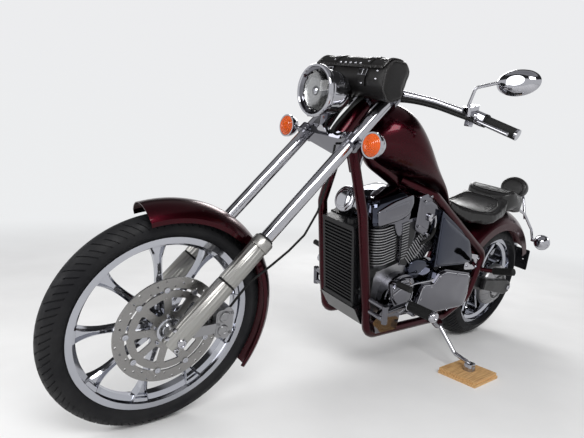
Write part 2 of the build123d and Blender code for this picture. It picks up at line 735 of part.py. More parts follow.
# Steering head and backbone
HEAD_TUBE_L = head_high - head_low
backbone_points = [
    (NECK_X - 2, 0, 1032),
    (NECK_X - 164, 0, 900),
    (860, 0, 838),
    (600, 0, 755),
]
backbone_tube = tube(backbone_points, BACKBONE_R, 120)
backbone_room = tube(backbone_points, BACKBONE_R + FIT, 120)
with BuildPart() as frame_backbone:
    add(backbone_tube)
    with BuildSketch(HEAD.offset(head_low)):
        Circle(HEAD_TUBE_R)
    extrude(amount=HEAD_TUBE_L)
    with BuildSketch(SIDE.offset(-5)):
        with BuildLine():
            Polyline(
                (NECK_X + 10, 968), (NECK_X - 2, 1010), (NECK_X - 114, 935), (NECK_X - 54, 850), close=True
            )
        make_face()
    extrude(amount=10)
    with BuildSketch(HEAD.offset(head_low)):
        Circle(STEM_R + RUNNING)
    extrude(amount=HEAD_TUBE_L, mode=Mode.SUBTRACT)

# Left and right frame loops: downtube, lower rail, rear upright, seat rail
RAIL_Z = 214
UPRIGHT_X = 262
loop_points = [
    (NECK_X, 22, 973),
    (NECK_X - 48, 111, 715),
    (NECK_X - 158, CRADLE_Y, 370),
    (NECK_X - 212, CRADLE_Y, RAIL_Z),
    (430, CRADLE_Y, RAIL_Z),
    (UPRIGHT_X, CRADLE_Y + 6, 300),
    (UPRIGHT_X - 44, CRADLE_Y + 6, 520),
    (700, 104, 798),
    (850, 26, 842),
]
loop_tube = tube(loop_points, TUBE_FRAME_R, FRAME_BEND)
loop_room = both_sides(tube(loop_points, TUBE_FRAME_R + FIT, FRAME_BEND)).part
CASE_FOOT = 240
CROSS_R = 17
REAR_PEG = (188, 196, 452)
rear_peg_arm = rod((214, CRADLE_Y + 6, 440), REAR_PEG, 11)
with BuildPart() as loop:
    add(loop_tube)
    add(rear_peg_arm)
    split(bisect_by=Plane.XZ, keep=Keep.BOTTOM)
    with BuildSketch(SIDE.offset(-CRADLE_Y - 12)):
        with Locations((UPRIGHT_X - 8, 374)):
            Circle(34)
    extrude(amount=24)
    with BuildSketch(SIDE.offset(-CRADLE_Y)):
        with Locations((470, CASE_FOOT - FIT - CROSS_R), (870, CASE_FOOT - FIT - CROSS_R)):
            Circle(CROSS_R)
    extrude(amount=CRADLE_Y)
    add(frame_backbone.part, mode=Mode.SUBTRACT)
with BuildPart() as frame_right:
    add(loop.part)
    mirror(about=Plane.XZ, mode=Mode.REPLACE)

# The left loop also carries the side stand's plate and pin
STAND_PIVOT = (517, 168, 212)
STAND_AXIS = Vector(0.225, 0.5167, 0.8255).normalized()
STAND_BOSS = 22
STAND = Plane(origin=STAND_PIVOT, x_dir=Vector(0, -1, 0) + STAND_AXIS * STAND_AXIS.Y, z_dir=STAND_AXIS)
PIN_R = 7
with BuildPart() as frame_left:
    add(loop.part)
    with BuildSketch(STAND.offset(-STAND_BOSS / 2 - RUNNING - 7)):
        with Locations((24, 0)):
            SlotOverall(82, 34)
    extrude(amount=7)
    with BuildSketch(STAND.offset(-STAND_BOSS / 2 - RUNNING - 7)):
        Circle(PIN_R)
    extrude(amount=STAND_BOSS + 2 * RUNNING + 7)
    with BuildSketch(STAND.offset(STAND_BOSS / 2 + RUNNING)):
        RegularPolygon(12, 6)
    extrude(amount=6)

# Swingarm: an arm each side of the wheel, the shaft housing and final drive on the left
PIVOT_X = UPRIGHT_X - 8
PIVOT_Z = 374
ARM_Y = 114
ARM_T = 34
with BuildPart() as swingarm:
    for y_near in (ARM_Y + ARM_T, -ARM_Y):
        with BuildSketch(SIDE.offset(-y_near)):
            with BuildLine():
                Polyline(
                    (PIVOT_X - 34, PIVOT_Z + 26), (-60, REAR_Z + 30), (-92, REAR_Z + 16),
                    (-92, REAR_Z - 18), (-60, REAR_Z - 30), (PIVOT_X - 34, PIVOT_Z - 36), close=True,
                )
            make_face()
            with Locations((PIVOT_X - 34, PIVOT_Z - 5)):
                Circle(31)
        extrude(amount=ARM_T)
    with BuildSketch(REAR_FACE.offset(-ARM_Y - ARM_T)):
        Circle(76)
    extrude(amount=ARM_T + ARM_Y - HUB_REAR - 6)
    with BuildSketch(REAR_FACE.offset(-ARM_Y - ARM_T - 12)):
        Circle(AXLE_R)
    extrude(amount=2 * (ARM_Y + ARM_T + 12))
    for side in (1, -1):
        with BuildSketch(REAR_FACE.offset(-side * (HUB_REAR + RUNNING))):
            Circle(AXLE_R + 7)
        extrude(amount=-side * (ARM_Y - HUB_REAR))
    with BuildSketch(REAR_FACE.offset(-ARM_Y - ARM_T - 12)):
        RegularPolygon(20, 6)
    extrude(amount=12)
    with BuildSketch(REAR_FACE.offset(ARM_Y + ARM_T)):
        RegularPolygon(20, 6)
    extrude(amount=12)
    add(loop_room, mode=Mode.SUBTRACT)
    add(frame_left.part, mode=Mode.SUBTRACT)
    add(frame_right.part, mode=Mode.SUBTRACT)

# Radiator between the downtubes
RAD_TOP = (NECK_X - 44, 658)  # X and Z of the front face's upper edge
RAD_FOOT = (NECK_X - 134, 332)
RAD_W = 176
RAD_T = 40
RAD_FINS = 22
rad_dx = RAD_TOP[0] - RAD_FOOT[0]
rad_dz = RAD_TOP[1] - RAD_FOOT[1]
RAD_H = hypot(rad_dx, rad_dz)
RAD = Plane(
    origin=((RAD_TOP[0] + RAD_FOOT[0]) / 2, 0, (RAD_TOP[1] + RAD_FOOT[1]) / 2),
    x_dir=(0, 1, 0),
    z_dir=(rad_dz, 0, -rad_dx),
)
RAD_RIM = 12
fin_gap = (RAD_H - 2 * RAD_RIM) / RAD_FINS
with BuildPart() as radiator:
    with BuildSketch(RAD):
        Rectangle(RAD_W, RAD_H)
    extrude(amount=-RAD_T)
    with BuildSketch(RAD):
        with GridLocations(0, fin_gap, 1, RAD_FINS):
            Rectangle(RAD_W - 2 * RAD_RIM, fin_gap * 0.62)
    extrude(amount=-9, mode=Mode.SUBTRACT)
    for end in (1, -1):
        with BuildSketch(RAD.offset(2)):
            with Locations((0, end * (RAD_H / 2 - 4))):
                RectangleRounded(RAD_W, 20, 8)
        extrude(amount=-RAD_T - 6)
    with BuildSketch(Plane(origin=(RAD_TOP[0] - 22, 52, RAD_TOP[1] + 2), z_dir=(0.1, 0, 1))):
        Circle(19)
    extrude(amount=26)

# Radiator cowl and chin
with BuildPart() as radiator_cowl:
    with BuildSketch(RAD.offset(-RAD_T - 6 - FIT)):
        Rectangle(RAD_W + 8, RAD_H + 18)
    extrude(amount=-24)
    with BuildSketch(RAD.offset(-4)):
        Rectangle(RAD_W + 8, RAD_H - 10)
        Rectangle(RAD_W + 2 * FIT, RAD_H, mode=Mode.SUBTRACT)
    extrude(amount=-RAD_T - 20)
    with BuildSketch(SIDE.offset(-100)):
        with BuildLine():
            Polyline(
                (RAD_FOOT[0] + 2, RAD_FOOT[1] - 8), (RAD_FOOT[0] - 56, RAD_FOOT[1] - 82),
                (RAD_FOOT[0] - 130, RAD_FOOT[1] - 96), (RAD_FOOT[0] - 135, RAD_FOOT[1] - 64),
                (RAD_FOOT[0] - 78, RAD_FOOT[1] + 8), (RAD_FOOT[0] - 62, RAD_FOOT[1] + 12), close=True,
            )
        make_face()
    extrude(amount=200)
    with BuildSketch(RAD.offset(-RAD_T / 2)):
        with Locations((0, 90), (0, -110)):
            Rectangle(2 * CRADLE_Y, 18)
    extrude(amount=-6)
    add(radiator.part, mode=Mode.SUBTRACT)
    add(loop_room, mode=Mode.SUBTRACT)
    split(bisect_by=Plane.XZ.offset(CRADLE_Y - 12), keep=Keep.BOTTOM)
    split(bisect_by=Plane.XZ.offset(-CRADLE_Y + 12), keep=Keep.TOP)

# Engine
CASE_W = 172


def cylinder_plane(bank):
    """Plane at the crank, its normal up a cylinder that leans ahead of the vertical by bank."""
    turn = radians(bank)
    return Plane(
        origin=(CRANK_X, 0, CRANK_Z), x_dir=(cos(turn), 0, -sin(turn)), z_dir=(sin(turn), 0, cos(turn))
    )


DECK = FIN_FIRST - 18
# columns: X and Z of the case outline, from the crank
CASE = (
    (54, -90), (94, -30), (115, 42), (120, 110), (100, 170), (50, 210), (-110, 230), (-230, 170),
    (-400, 100), (-430, 50), (-432, -40), (-400, -90),
)
FIN_TOP = FIN_FIRST + FIN_COUNT * FIN_PITCH
BANKS = (FRONT_BANK, REAR_BANK)
VALLEY = cylinder_plane((FRONT_BANK + REAR_BANK) / 2)
valley = Plane(origin=VALLEY.origin, z_dir=VALLEY.x_dir)
with BuildPart() as engine_case:
    with BuildSketch(SIDE.offset(-CASE_W / 2)):
        with BuildLine():
            Polyline(*[(CRANK_X + x, CRANK_Z + z) for x, z in CASE], close=True)
        make_face()
    extrude(amount=CASE_W)
    for bank in BANKS:
        with BuildSketch(cylinder_plane(bank).offset(DECK)):
            Rectangle(260, CASE_W + 20)
        extrude(amount=120, mode=Mode.SUBTRACT)


def finned_cylinder(bank, valley_side):
    """A barrel with its stack of fins, cut at the middle of the V. valley_side is 1 ahead of it."""
    plane = cylinder_plane(bank)
    with BuildPart() as cylinder:
        with BuildSketch(plane.offset(DECK)):
            Circle(BARREL_R)
        extrude(amount=FIN_TOP - DECK)
        for row in range(FIN_COUNT):
            with BuildSketch(plane.offset(FIN_FIRST + row * FIN_PITCH)):
                RectangleRounded(FIN_L, FIN_W, FIN_ROUND)
            extrude(amount=FIN_T)
        split(bisect_by=valley.offset(2 * valley_side), keep=Keep.TOP if valley_side > 0 else Keep.BOTTOM)
    return cylinder


front_cylinder = finned_cylinder(FRONT_BANK, 1)
rear_cylinder = finned_cylinder(REAR_BANK, -1)


# columns: height above the fins, length, width, forward shift
HEAD_ROWS = ((0, 176, 168, 0), (30, 228, 206, 8), (44, 232, 210, 10), (84, 226, 204, 10), (124, 188, 158, 6))
HEAD_ROUND = 32


def cylinder_head(bank):
    """A cylinder head in its chrome covers: waisted at the fins, a belt, and a domed rocker cover."""
    plane = cylinder_plane(bank)
    with BuildPart() as head:
        for height, length, width, ahead in HEAD_ROWS:
            with BuildSketch(plane.offset(FIN_TOP + height)):
                with Locations((ahead, 0)):
                    RectangleRounded(length, width, HEAD_ROUND)
        loft(ruled=True)
        add(backbone_room, mode=Mode.SUBTRACT)
        add(loop_room, mode=Mode.SUBTRACT)
    return head


front_head = cylinder_head(FRONT_BANK)
rear_head = cylinder_head(REAR_BANK)

# Chrome engine covers: the long left cover, the round front one, the clutch cover on the right and the valley cover
COVER_Y = CASE_W / 2
COVER_OUT = CRADLE_Y + 25
# columns: X and Z of the left cover's outline, from the crank
LEFT_COVER = (
    (-130, -72), (-124, 0), (-140, 88), (-218, 84), (-250, 128), (-300, 138), (-518, 102), (-540, 0),
    (-534, -62), (-500, -74),
)
with BuildPart() as left_cover:
    with BuildSketch(SIDE.offset(-COVER_OUT + 8)) as cover_outline:
        with BuildLine():
            Polyline(*[(CRANK_X + x, CRANK_Z + z) for x, z in LEFT_COVER], close=True)
        make_face()
        fillet(cover_outline.vertices(), 9)
    extrude(amount=COVER_OUT - 8 - COVER_Y)
    with BuildSketch(SIDE.offset(-COVER_OUT)):
        add(cover_outline.sketch_local)
        offset(amount=-8, mode=Mode.REPLACE)
    extrude(amount=8)
    add(loop_room, mode=Mode.SUBTRACT)
with BuildPart() as valley_cover:
    with BuildSketch(SIDE.offset(-FIN_W / 2 - 6)):
        with BuildLine():
            Polyline(*[(CRANK_X + x, CRANK_Z + z) for x, z in ((-72, 150), (-22, 158), (20, 352), (-84, 376))], close=True)
        make_face()
    extrude(amount=FIN_W / 2 + 46)
    for bank in BANKS:
        with BuildSketch(cylinder_plane(bank).offset(DECK)):
            RectangleRounded(FIN_L + 2 * FIT, FIN_W + 2 * FIT, FIN_ROUND)
        extrude(amount=FIN_TOP - DECK, mode=Mode.SUBTRACT)
    add(engine_case.part, mode=Mode.SUBTRACT)
    add(front_head.part, mode=Mode.SUBTRACT)
    add(rear_head.part, mode=Mode.SUBTRACT)
with BuildPart() as engine_covers:
    add(left_cover.part)
    add(valley_cover.part)
    with BuildSketch(SIDE.offset(-COVER_Y - 42)):
        with Locations((CRANK_X - 22, CRANK_Z + 34)):
            Circle(98)
    extrude(amount=42)
    with BuildSketch(SIDE.offset(-COVER_Y - 50)):
        with Locations((CRANK_X - 22, CRANK_Z + 34)):
            Circle(72)
    extrude(amount=8)
    with BuildSketch(SIDE.offset(COVER_Y)):
        with Locations((CRANK_X - 170, CRANK_Z + 22)):
            Circle(112)
        with Locations((CRANK_X - 10, CRANK_Z + 26)):
            Circle(56)
        make_hull()
    extrude(amount=34)

# Triangular side covers under the seat rails
with BuildPart() as side_cover_left:
    with BuildSketch(SIDE.offset(-CRADLE_Y - 6)):
        with BuildLine():
            Polyline((646, 738), (606, 478), (300, 474), (300, 506), (370, 606), close=True)
        make_face()
    extrude(amount=26)
    fillet(side_cover_left.faces().sort_by(Axis.Y)[-1].edges(), 6)
    add(loop_room, mode=Mode.SUBTRACT)
side_covers = both_sides(side_cover_left.part)

# Fuel tank over the backbone
# columns: X, Z of the top, Z of the bottom, half width
TANK = (
    (1092, 1004, 948, 34),
    (1045, 1082, 908, 96),
    (950, 1125, 876, 138),
    (830, 1034, 850, 146),
    (700, 910, 824, 122),
    (560, 806, 760, 84),
    (470, 764, 728, 50),
)
with BuildPart() as fuel_tank:
    for x, top, bottom, half in TANK:
        with BuildSketch(Plane(origin=(x, 0, (top + bottom) / 2), x_dir=(0, 1, 0), z_dir=(1, 0, 0))):
            Ellipse(half, (top - bottom) / 2)
    loft()
    with BuildSketch(SIDE.offset(-BACKBONE_R - FIT)):
        with BuildLine():
            Polyline(*[(x, z) for x, y, z in backbone_points], (440, 690), (440, 600), (1172, 600), close=True)
        make_face()
    extrude(amount=2 * (BACKBONE_R + FIT), mode=Mode.SUBTRACT)
    add(backbone_room, mode=Mode.SUBTRACT)
    add(loop_room, mode=Mode.SUBTRACT)

# Rear fender over the tyre
REAR_FENDER_R = 402
REAR_FENDER_W = 236
REAR_FENDER_FRONT = 34
REAR_FENDER_END = 152
FENDER_TOP = REAR_Z + REAR_FENDER_R


def by_fender(gap, turn, y=0):
    """Point a gap outside the rear fender, at degrees up round the axle from straight ahead."""
    reach = REAR_FENDER_R + gap
    return (reach * cos(radians(turn)), y, REAR_Z + reach * sin(radians(turn)))


with BuildPart() as rear_fender:
    with BuildSketch(wheel_section(0, REAR_Z, REAR_FENDER_END)):
        make_face(fender_outline(REAR_FENDER_R, REAR_FENDER_W, 3, 300, 62))
    revolve(axis=REAR_AXLE, revolution_arc=REAR_FENDER_END - REAR_FENDER_FRONT)
    add(loop_room, mode=Mode.SUBTRACT)

# Rider seat: side outline crossed with its outline from above
SEAT_T = 62
with BuildPart() as rider_seat:
    with BuildSketch(SIDE.offset(-170)):
        with BuildLine():
            Polyline((98, 806), (98, 722), (140, 708), (236, 678), (360, 680), (474, 740), (474, 768))
            ThreePointArc((474, 768), (370, 726), (285, 714))
            ThreePointArc((285, 714), (180, 738), (98, 806))
        make_face()
    extrude(amount=340)
    with BuildSketch(Plane.XY.offset(600)):
        with BuildLine():
            Polyline((98, -124), (98, 124))
            ThreePointArc((98, 124), (170, 150), (250, 152))
            ThreePointArc((250, 152), (360, 104), (474, 52))
            Line((474, 52), (474, -52))
            ThreePointArc((474, -52), (360, -104), (250, -152))
            ThreePointArc((250, -152), (170, -150), (98, -124))
        make_face()
    extrude(amount=300, mode=Mode.INTERSECT)
    add(fuel_tank.part, mode=Mode.SUBTRACT)
    add(loop_room, mode=Mode.SUBTRACT)
    add(frame_backbone.part, mode=Mode.SUBTRACT)

# Pillion pad on the fender
with BuildPart() as pillion_pad:
    with BuildSketch(SIDE.offset(-130)):
        with BuildLine():
            Polyline((97, FENDER_TOP + 1.5), (97, FENDER_TOP + 73.5))
            ThreePointArc((97, FENDER_TOP + 73.5), (60, FENDER_TOP + 95.5), (10, FENDER_TOP + 91.5))
            Polyline(
                (10, FENDER_TOP + 91.5), (-96, FENDER_TOP + 59.5), (-100, FENDER_TOP - 16.5), (0, FENDER_TOP + 1),
                (97, FENDER_TOP + 1.5),
            )
        make_face()
    extrude(amount=260)
    with BuildSketch(Plane.XY.offset(600)):
        with Locations((0, 0)):
            RectangleRounded(200, 246, 50)
    extrude(amount=300, mode=Mode.INTERSECT)
    with BuildSketch(REAR_FACE.offset(-150)):
        Circle(REAR_FENDER_R + RUNNING)
    extrude(amount=300, mode=Mode.SUBTRACT)

# Backrest: a round pad on chrome tubes that run down the fender to the rear signals
PAD_X, _, PAD_Z = by_fender(133.6, 110.55)
with BuildPart() as backrest_pad:
    with BuildSketch(Plane(origin=(PAD_X - 22, 0, PAD_Z), x_dir=(0, 1, 0), z_dir=(0.97, 0, 0.22))):
        Ellipse(72, 59)
    extrude(amount=44)
    fillet(backrest_pad.edges(), 12)
# columns: gap to the fender, turn round the axle, Y
STAY_POINTS = ((21.4, 95.42, 104), (10.5, 108.37, 118), (-9, 129.89, 127), (-15.3, 141.35, 127))
HOOP_POINTS = ((-5.2, 115.05, 112), (97.6, 113.1, 62), (145.7, 112.09, 30))
stay = tube([by_fender(*point) for point in STAY_POINTS], 7, 40)
hoop_side = [by_fender(*point) for point in HOOP_POINTS]
hoop = tube(hoop_side + [(x, -y, z) for x, y, z in reversed(hoop_side)], 7, 12)
with BuildPart() as backrest_frame:
    add(stay)
    add(mirrored(stay).part)
    add(hoop)
    add(backrest_pad.part, mode=Mode.SUBTRACT)
    add(rear_fender.part, mode=Mode.SUBTRACT)
    add(pillion_pad.part, mode=Mode.SUBTRACT)

# Rear signals behind the stays, tail light and plate
REAR_SIGNAL = by_fender(-13.7, 141.53, 176)
rear_stalk = rod(
    (REAR_SIGNAL[0] - 12, 126, REAR_SIGNAL[2]), (REAR_SIGNAL[0] - 12, REAR_SIGNAL[1] - 20, REAR_SIGNAL[2]), 8
)
rear_signal_left = turned_back(signal_housing(*REAR_SIGNAL, rear_stalk), REAR_SIGNAL[0])
with BuildPart() as rear_signal_housing_left:
    add(rear_signal_left)
    add(backrest_frame.part, mode=Mode.SUBTRACT)
    add(rear_fender.part, mode=Mode.SUBTRACT)
rear_signal_housings = both_sides(rear_signal_housing_left.part)
with BuildPart() as rear_signal_lenses:
    add(signal_lens(*REAR_SIGNAL, -1))
    add(signal_lens(REAR_SIGNAL[0], -REAR_SIGNAL[1], REAR_SIGNAL[2], -1))
TAIL_TURN = 141
tail_plane = Plane(
    origin=(
        REAR_FENDER_R * cos(radians(TAIL_TURN)) - 1, 0, REAR_Z + REAR_FENDER_R * sin(radians(TAIL_TURN))
    ),
    x_dir=(0, 1, 0),
    z_dir=(cos(radians(TAIL_TURN)), 0, sin(radians(TAIL_TURN))),
)
with BuildPart() as tail_light:
    with BuildSketch(tail_plane.offset(-20)):
        RectangleRounded(96, 54, 20)
    extrude(amount=52, taper=8)
    with BuildSketch(REAR_FACE.offset(-150)):
        Circle(REAR_FENDER_R + RUNNING)
    extrude(amount=300, mode=Mode.SUBTRACT)
PLATE_W = 200
PLATE_H = 125
PLATE_HOLE_R = 3.5
PLATE_HOLE_PCD = 140
plate_plane = Plane(origin=by_fender(8.3, 165.96), x_dir=(0, 1, 0), z_dir=(-1, 0, 0.18))
# columns: gap to the fender, turn round the axle
PLATE_STAY = ((-2.6, 148.36), (25.1, 156.62), (12.7, 164.69), (6.9, 164.47), (12.5, 156.46), (-14.3, 148.34))
with BuildPart() as plate_bracket:
    with BuildSketch(plate_plane):
        RectangleRounded(PLATE_W, PLATE_H, 8)
        with PolarLocations(PLATE_HOLE_PCD / 2, 2):
            Circle(PLATE_HOLE_R, mode=Mode.SUBTRACT)
    extrude(amount=3)
    with BuildSketch(SIDE.offset(-20)):
        with BuildLine():
            Polyline(*[(x, z) for x, _, z in [by_fender(*point) for point in PLATE_STAY]], close=True)
        make_face()
    extrude(amount=40)
    with BuildSketch(REAR_FACE.offset(-150)):
        Circle(REAR_FENDER_R + RUNNING)
    extrude(amount=300, mode=Mode.SUBTRACT)

# Exhaust: two headers down the right side into stacked mufflers
PIPE_R = 21
MUFFLER_R = 44
MUFFLER_Y = -208
headers = (
    [
        (960, -84, 706), (1012, -132, 668), (985, -134, 520), (890, -134, 420), (800, -134, 388),
        (690, MUFFLER_Y, 270), (580, MUFFLER_Y, 232), (540, MUFFLER_Y, 232),
    ],
    [
        (664, -74, 660), (690, -128, 630), (690, -132, 520), (655, MUFFLER_Y, 420), (540, MUFFLER_Y, 334),
        (420, MUFFLER_Y, 334),
    ],
)
muffler_ends = ((560, -300, 232), (470, -330, 334))
with BuildPart() as exhausts:
    for points, (start, end, level) in zip(headers, muffler_ends):
        add(tube(points, PIPE_R, 44))
        with BuildSketch(Plane(origin=(start, MUFFLER_Y, level), z_dir=(-1, 0, 0))):
            Circle(MUFFLER_R)
        extrude(amount=start - end)
    chamfer(exhausts.edges().filter_by(GeomType.CIRCLE).filter_by(lambda e: e.radius == MUFFLER_R).group_by(Axis.X)[-1], 16)
    for start, end, level in muffler_ends:
        with BuildSketch(Plane(origin=(end, MUFFLER_Y, level), z_dir=(1, 0, 0))):
            Circle(MUFFLER_R - 8)
        extrude(amount=90, mode=Mode.SUBTRACT)
    split(bisect_by=Plane(origin=(-276, MUFFLER_Y, 283), z_dir=(1, 0, -0.5)), keep=Keep.TOP)
    add(front_head.part, mode=Mode.SUBTRACT)
    add(rear_head.part, mode=Mode.SUBTRACT)
    add(front_cylinder.part, mode=Mode.SUBTRACT)
    add(rear_cylinder.part, mode=Mode.SUBTRACT)
    add(engine_covers.part, mode=Mode.SUBTRACT)

# Forward controls
PEG_X = 850
PEG_Z = 366
PEG_R = 20
PEG_ROOT = 204
PEG_L = 128
peg_arm = rod((866, CRADLE_Y + TUBE_FRAME_R + 5, 318), (PEG_X, PEG_ROOT, PEG_Z), 13)
# forged arm ahead of the peg: two bars from the downtube, a block joining them, and a web back to the peg
bar_up = rod((NECK_X - 154, CRADLE_Y, 384), (NECK_X - 184, PEG_ROOT, 369), 9)
bar_low = rod((NECK_X - 167, CRADLE_Y, 334), (NECK_X - 196, PEG_ROOT, 316), 9)
bar_link = rod((NECK_X - 181, PEG_ROOT, 381), (NECK_X - 199, PEG_ROOT, 304), 12)
bar_web = rod((NECK_X - 188, PEG_ROOT, 350), (PEG_X, PEG_ROOT - 2, PEG_Z), 11)
lever_arm = tube([(866, 176, 326), (930, 176, 400), (962, 176, 468), (962, 214, 472)], 8, 18)
with BuildPart() as control_bracket_left:
    with BuildSketch(SIDE.offset(-CRADLE_Y - TUBE_FRAME_R - 16)):
        with BuildLine():
            Polyline((822, 232), (950, 232), (985, 286), (930, 350), (850, 352), (822, 290), close=True)
        make_face()
    extrude(amount=16 - 1)
    with BuildSketch(SIDE.offset(-CRADLE_Y - TUBE_FRAME_R - 2)):
        with Locations((940, 250), (845, 250)):
            Circle(13)
    extrude(amount=20)
    add(peg_arm)
    add(bar_up)
    add(bar_low)
    add(bar_link)
    add(bar_web)
    add(lever_arm)
    add(loop_room, mode=Mode.SUBTRACT)
forward_controls = both_sides(control_bracket_left.part)
peg = rod((PEG_X, PEG_ROOT + FIT, PEG_Z), (PEG_X, PEG_ROOT + PEG_L, PEG_Z + 6), PEG_R)
toe_peg = rod((962, 214 + FIT, 472), (962, 276, 474), 12)
rear_peg = rod(REAR_PEG, (REAR_PEG[0] + 12, REAR_PEG[1] + 96, REAR_PEG[2] + 34), 17)
with BuildPart() as pegs_left:
    add(peg)
    add(toe_peg)
    add(rear_peg)
    add(control_bracket_left.part, mode=Mode.SUBTRACT)
    add(frame_left.part, mode=Mode.SUBTRACT)
footpegs = both_sides(pegs_left.part)

# Horn in its chrome cover, hung from the backbone above the radiator
HORN_X = RAD_TOP[0] - 64
HORN_Z = RAD_TOP[1] + 78
horn_stay = rod((HORN_X + 22, 0, HORN_Z + 24), (HORN_X + 6, 0, 935), 6)
with BuildPart() as horn_cover:
    with BuildSketch(Plane(origin=(HORN_X, 0, HORN_Z), x_dir=(0, 1, 0), z_dir=(0.97, 0, 0.25))):
        Circle(52)
    extrude(amount=62)
    fillet(horn_cover.edges(), 14)
    add(horn_stay)
    add(frame_backbone.part, mode=Mode.SUBTRACT)

# Rear caliper over the right arm
REAR_CALIPER_TURN = 58
with BuildPart() as rear_caliper:
    rear_caliper_plane = Plane(
        origin=(0, REAR_DISC_Y, REAR_Z),
        x_dir=(cos(radians(REAR_CALIPER_TURN)), 0, sin(radians(REAR_CALIPER_TURN))),
        z_dir=(0, -1, 0),
    )
    with BuildSketch(rear_caliper_plane.offset(-24)):
        with Locations((REAR_DISC_R - 4, 0)):
            RectangleRounded(56, 88, 14)
    extrude(amount=48)
    with BuildSketch(rear_caliper_plane.offset(13)):
        with Locations((REAR_DISC_R - 50, -10)):
            Rectangle(90, 40)
    extrude(amount=11)
    with BuildSketch(rear_caliper_plane.offset(-PAD_GAP / 2)):
        Circle(REAR_DISC_R + 5)
    extrude(amount=PAD_GAP, mode=Mode.SUBTRACT)
    add(swingarm.part, mode=Mode.SUBTRACT)

# Ground as the leaning motorcycle sees it, board and side stand
lean_sin = sin(radians(LEAN))
lean_cos = cos(radians(LEAN))
GROUND = Plane(origin=(0, 0, 0), x_dir=(1, 0, 0), z_dir=(0, -lean_sin, lean_cos))
BOARD_AT = (527, 376)
BOARD_L = 186
BOARD_W = 172
LAYER_T = 12
with BuildPart() as parking_board:
    with BuildSketch(GROUND):
        with Locations(BOARD_AT):
            Rectangle(BOARD_L, BOARD_W)
    extrude(amount=LAYER_T)
    with BuildSketch(GROUND.offset(LAYER_T)):
        with Locations((BOARD_AT[0] - 1, BOARD_AT[1] - 2)):
            Rectangle(BOARD_L - 8, BOARD_W - 6)
    extrude(amount=LAYER_T)
FOOT_H = 30
foot_plane = GROUND.offset(2 * LAYER_T)
foot_top = (foot_plane.location * Location((519, 374, FOOT_H - 6))).position
leg = tube([STAND_PIVOT, (518, 284, 121), (519, 350, 116), foot_top], 9, 24)
with BuildPart() as side_stand:
    add(leg)
    with BuildSketch(foot_plane):
        with Locations((519, 376)):
            RectangleRounded(50, 40, 12)
    extrude(amount=FOOT_H, taper=6)
    with BuildSketch(STAND.offset(-STAND_BOSS / 2)):
        Circle(19)
    extrude(amount=STAND_BOSS)
    with BuildSketch(STAND.offset(-STAND_BOSS / 2 - 5)):
        Circle(PIN_R + RUNNING)
    extrude(amount=STAND_BOSS + 10, mode=Mode.SUBTRACT)

# Stance and export: each piece leaned onto the stand, the whole centred over the origin
pieces = {
    "front_tyre": front_tyre,
    "front_rim": front_rim,
    "front_disc": front_disc,
    "rear_tyre": rear_tyre,
    "rear_rim": rear_rim,
    "rear_disc": rear_disc,
    "fork_lowers": fork_lowers,
    "fork_tubes": fork_tubes,
    "triple_clamps": triple_clamps,
    "handlebar": handlebar,
    "grips": grips,
    "handlebar_controls": handlebar_controls,
    "mirror_shells": mirror_shells,
    "mirror_glasses": mirror_glasses,
    "headlight_shell": headlight_body,
    "headlight_lens": headlight_lens,
    "handlebar_bag": handlebar_bag,
    "gauge": gauge,
    "front_signal_housings": front_signal_housings,
    "front_signal_lenses": front_signal_lenses,
    "front_fender": front_fender,
    "front_caliper": front_caliper,
    "front_brake_hose": front_brake_hose,
    "frame_backbone": frame_backbone,
    "frame_left": frame_left,
    "frame_right": frame_right,
    "swingarm": swingarm,
    "radiator": radiator,
    "radiator_cowl": radiator_cowl,
    "engine_case": engine_case,
    "engine_covers": engine_covers,
    "front_cylinder": front_cylinder,
    "rear_cylinder": rear_cylinder,
    "front_head": front_head,
    "rear_head": rear_head,
    "side_covers": side_covers,
    "fuel_tank": fuel_tank,
    "rider_seat": rider_seat,
    "pillion_pad": pillion_pad,
    "backrest_pad": backrest_pad,
    "backrest_frame": backrest_frame,
    "rear_fender": rear_fender,
    "rear_signal_housings": rear_signal_housings,
    "rear_signal_lenses": rear_signal_lenses,
    "tail_light": tail_light,
    "plate_bracket": plate_bracket,
    "exhausts": exhausts,
    "forward_controls": forward_controls,
    "footpegs": footpegs,
    "horn_cover": horn_cover,
    "rear_caliper": rear_caliper,
    "parking_board": parking_board,
    "side_stand": side_stand,
}
leaned = {name: piece.part.moved(Location((0, 0, 0), (-LEAN, 0, 0))) for name, piece in pieces.items()}
boxes = [piece.bounding_box() for piece in leaned.values()]
SHIFT = (
    -(min(box.min.X for box in boxes) + max(box.max.X for box in boxes)) / 2,
    -(min(box.min.Y for box in boxes) + max(box.max.Y for box in boxes)) / 2,
    0,
)
for name, piece in leaned.items():
    placed = piece.moved(Location(SHIFT))
    placed.label = name
    export_step(placed, f"parts/{name}.step")
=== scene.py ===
# %% [markdown]
# # A long chopper leaning on its side stand
#
# The solids come from the CAD model and are already in their places. This notebook gives every
# surface its finish, adds what is soft or small, such as leather, tread and bolts, and then lights
# and frames the machine. Lengths are in metres. The row frame has X ahead, Y to the rider's left
# and Z up.

import json
from math import atan2, cos, pi, radians, sin

import bmesh
import bpy
from mathutils import Matrix, Vector
from mathutils.bvhtree import BVHTree


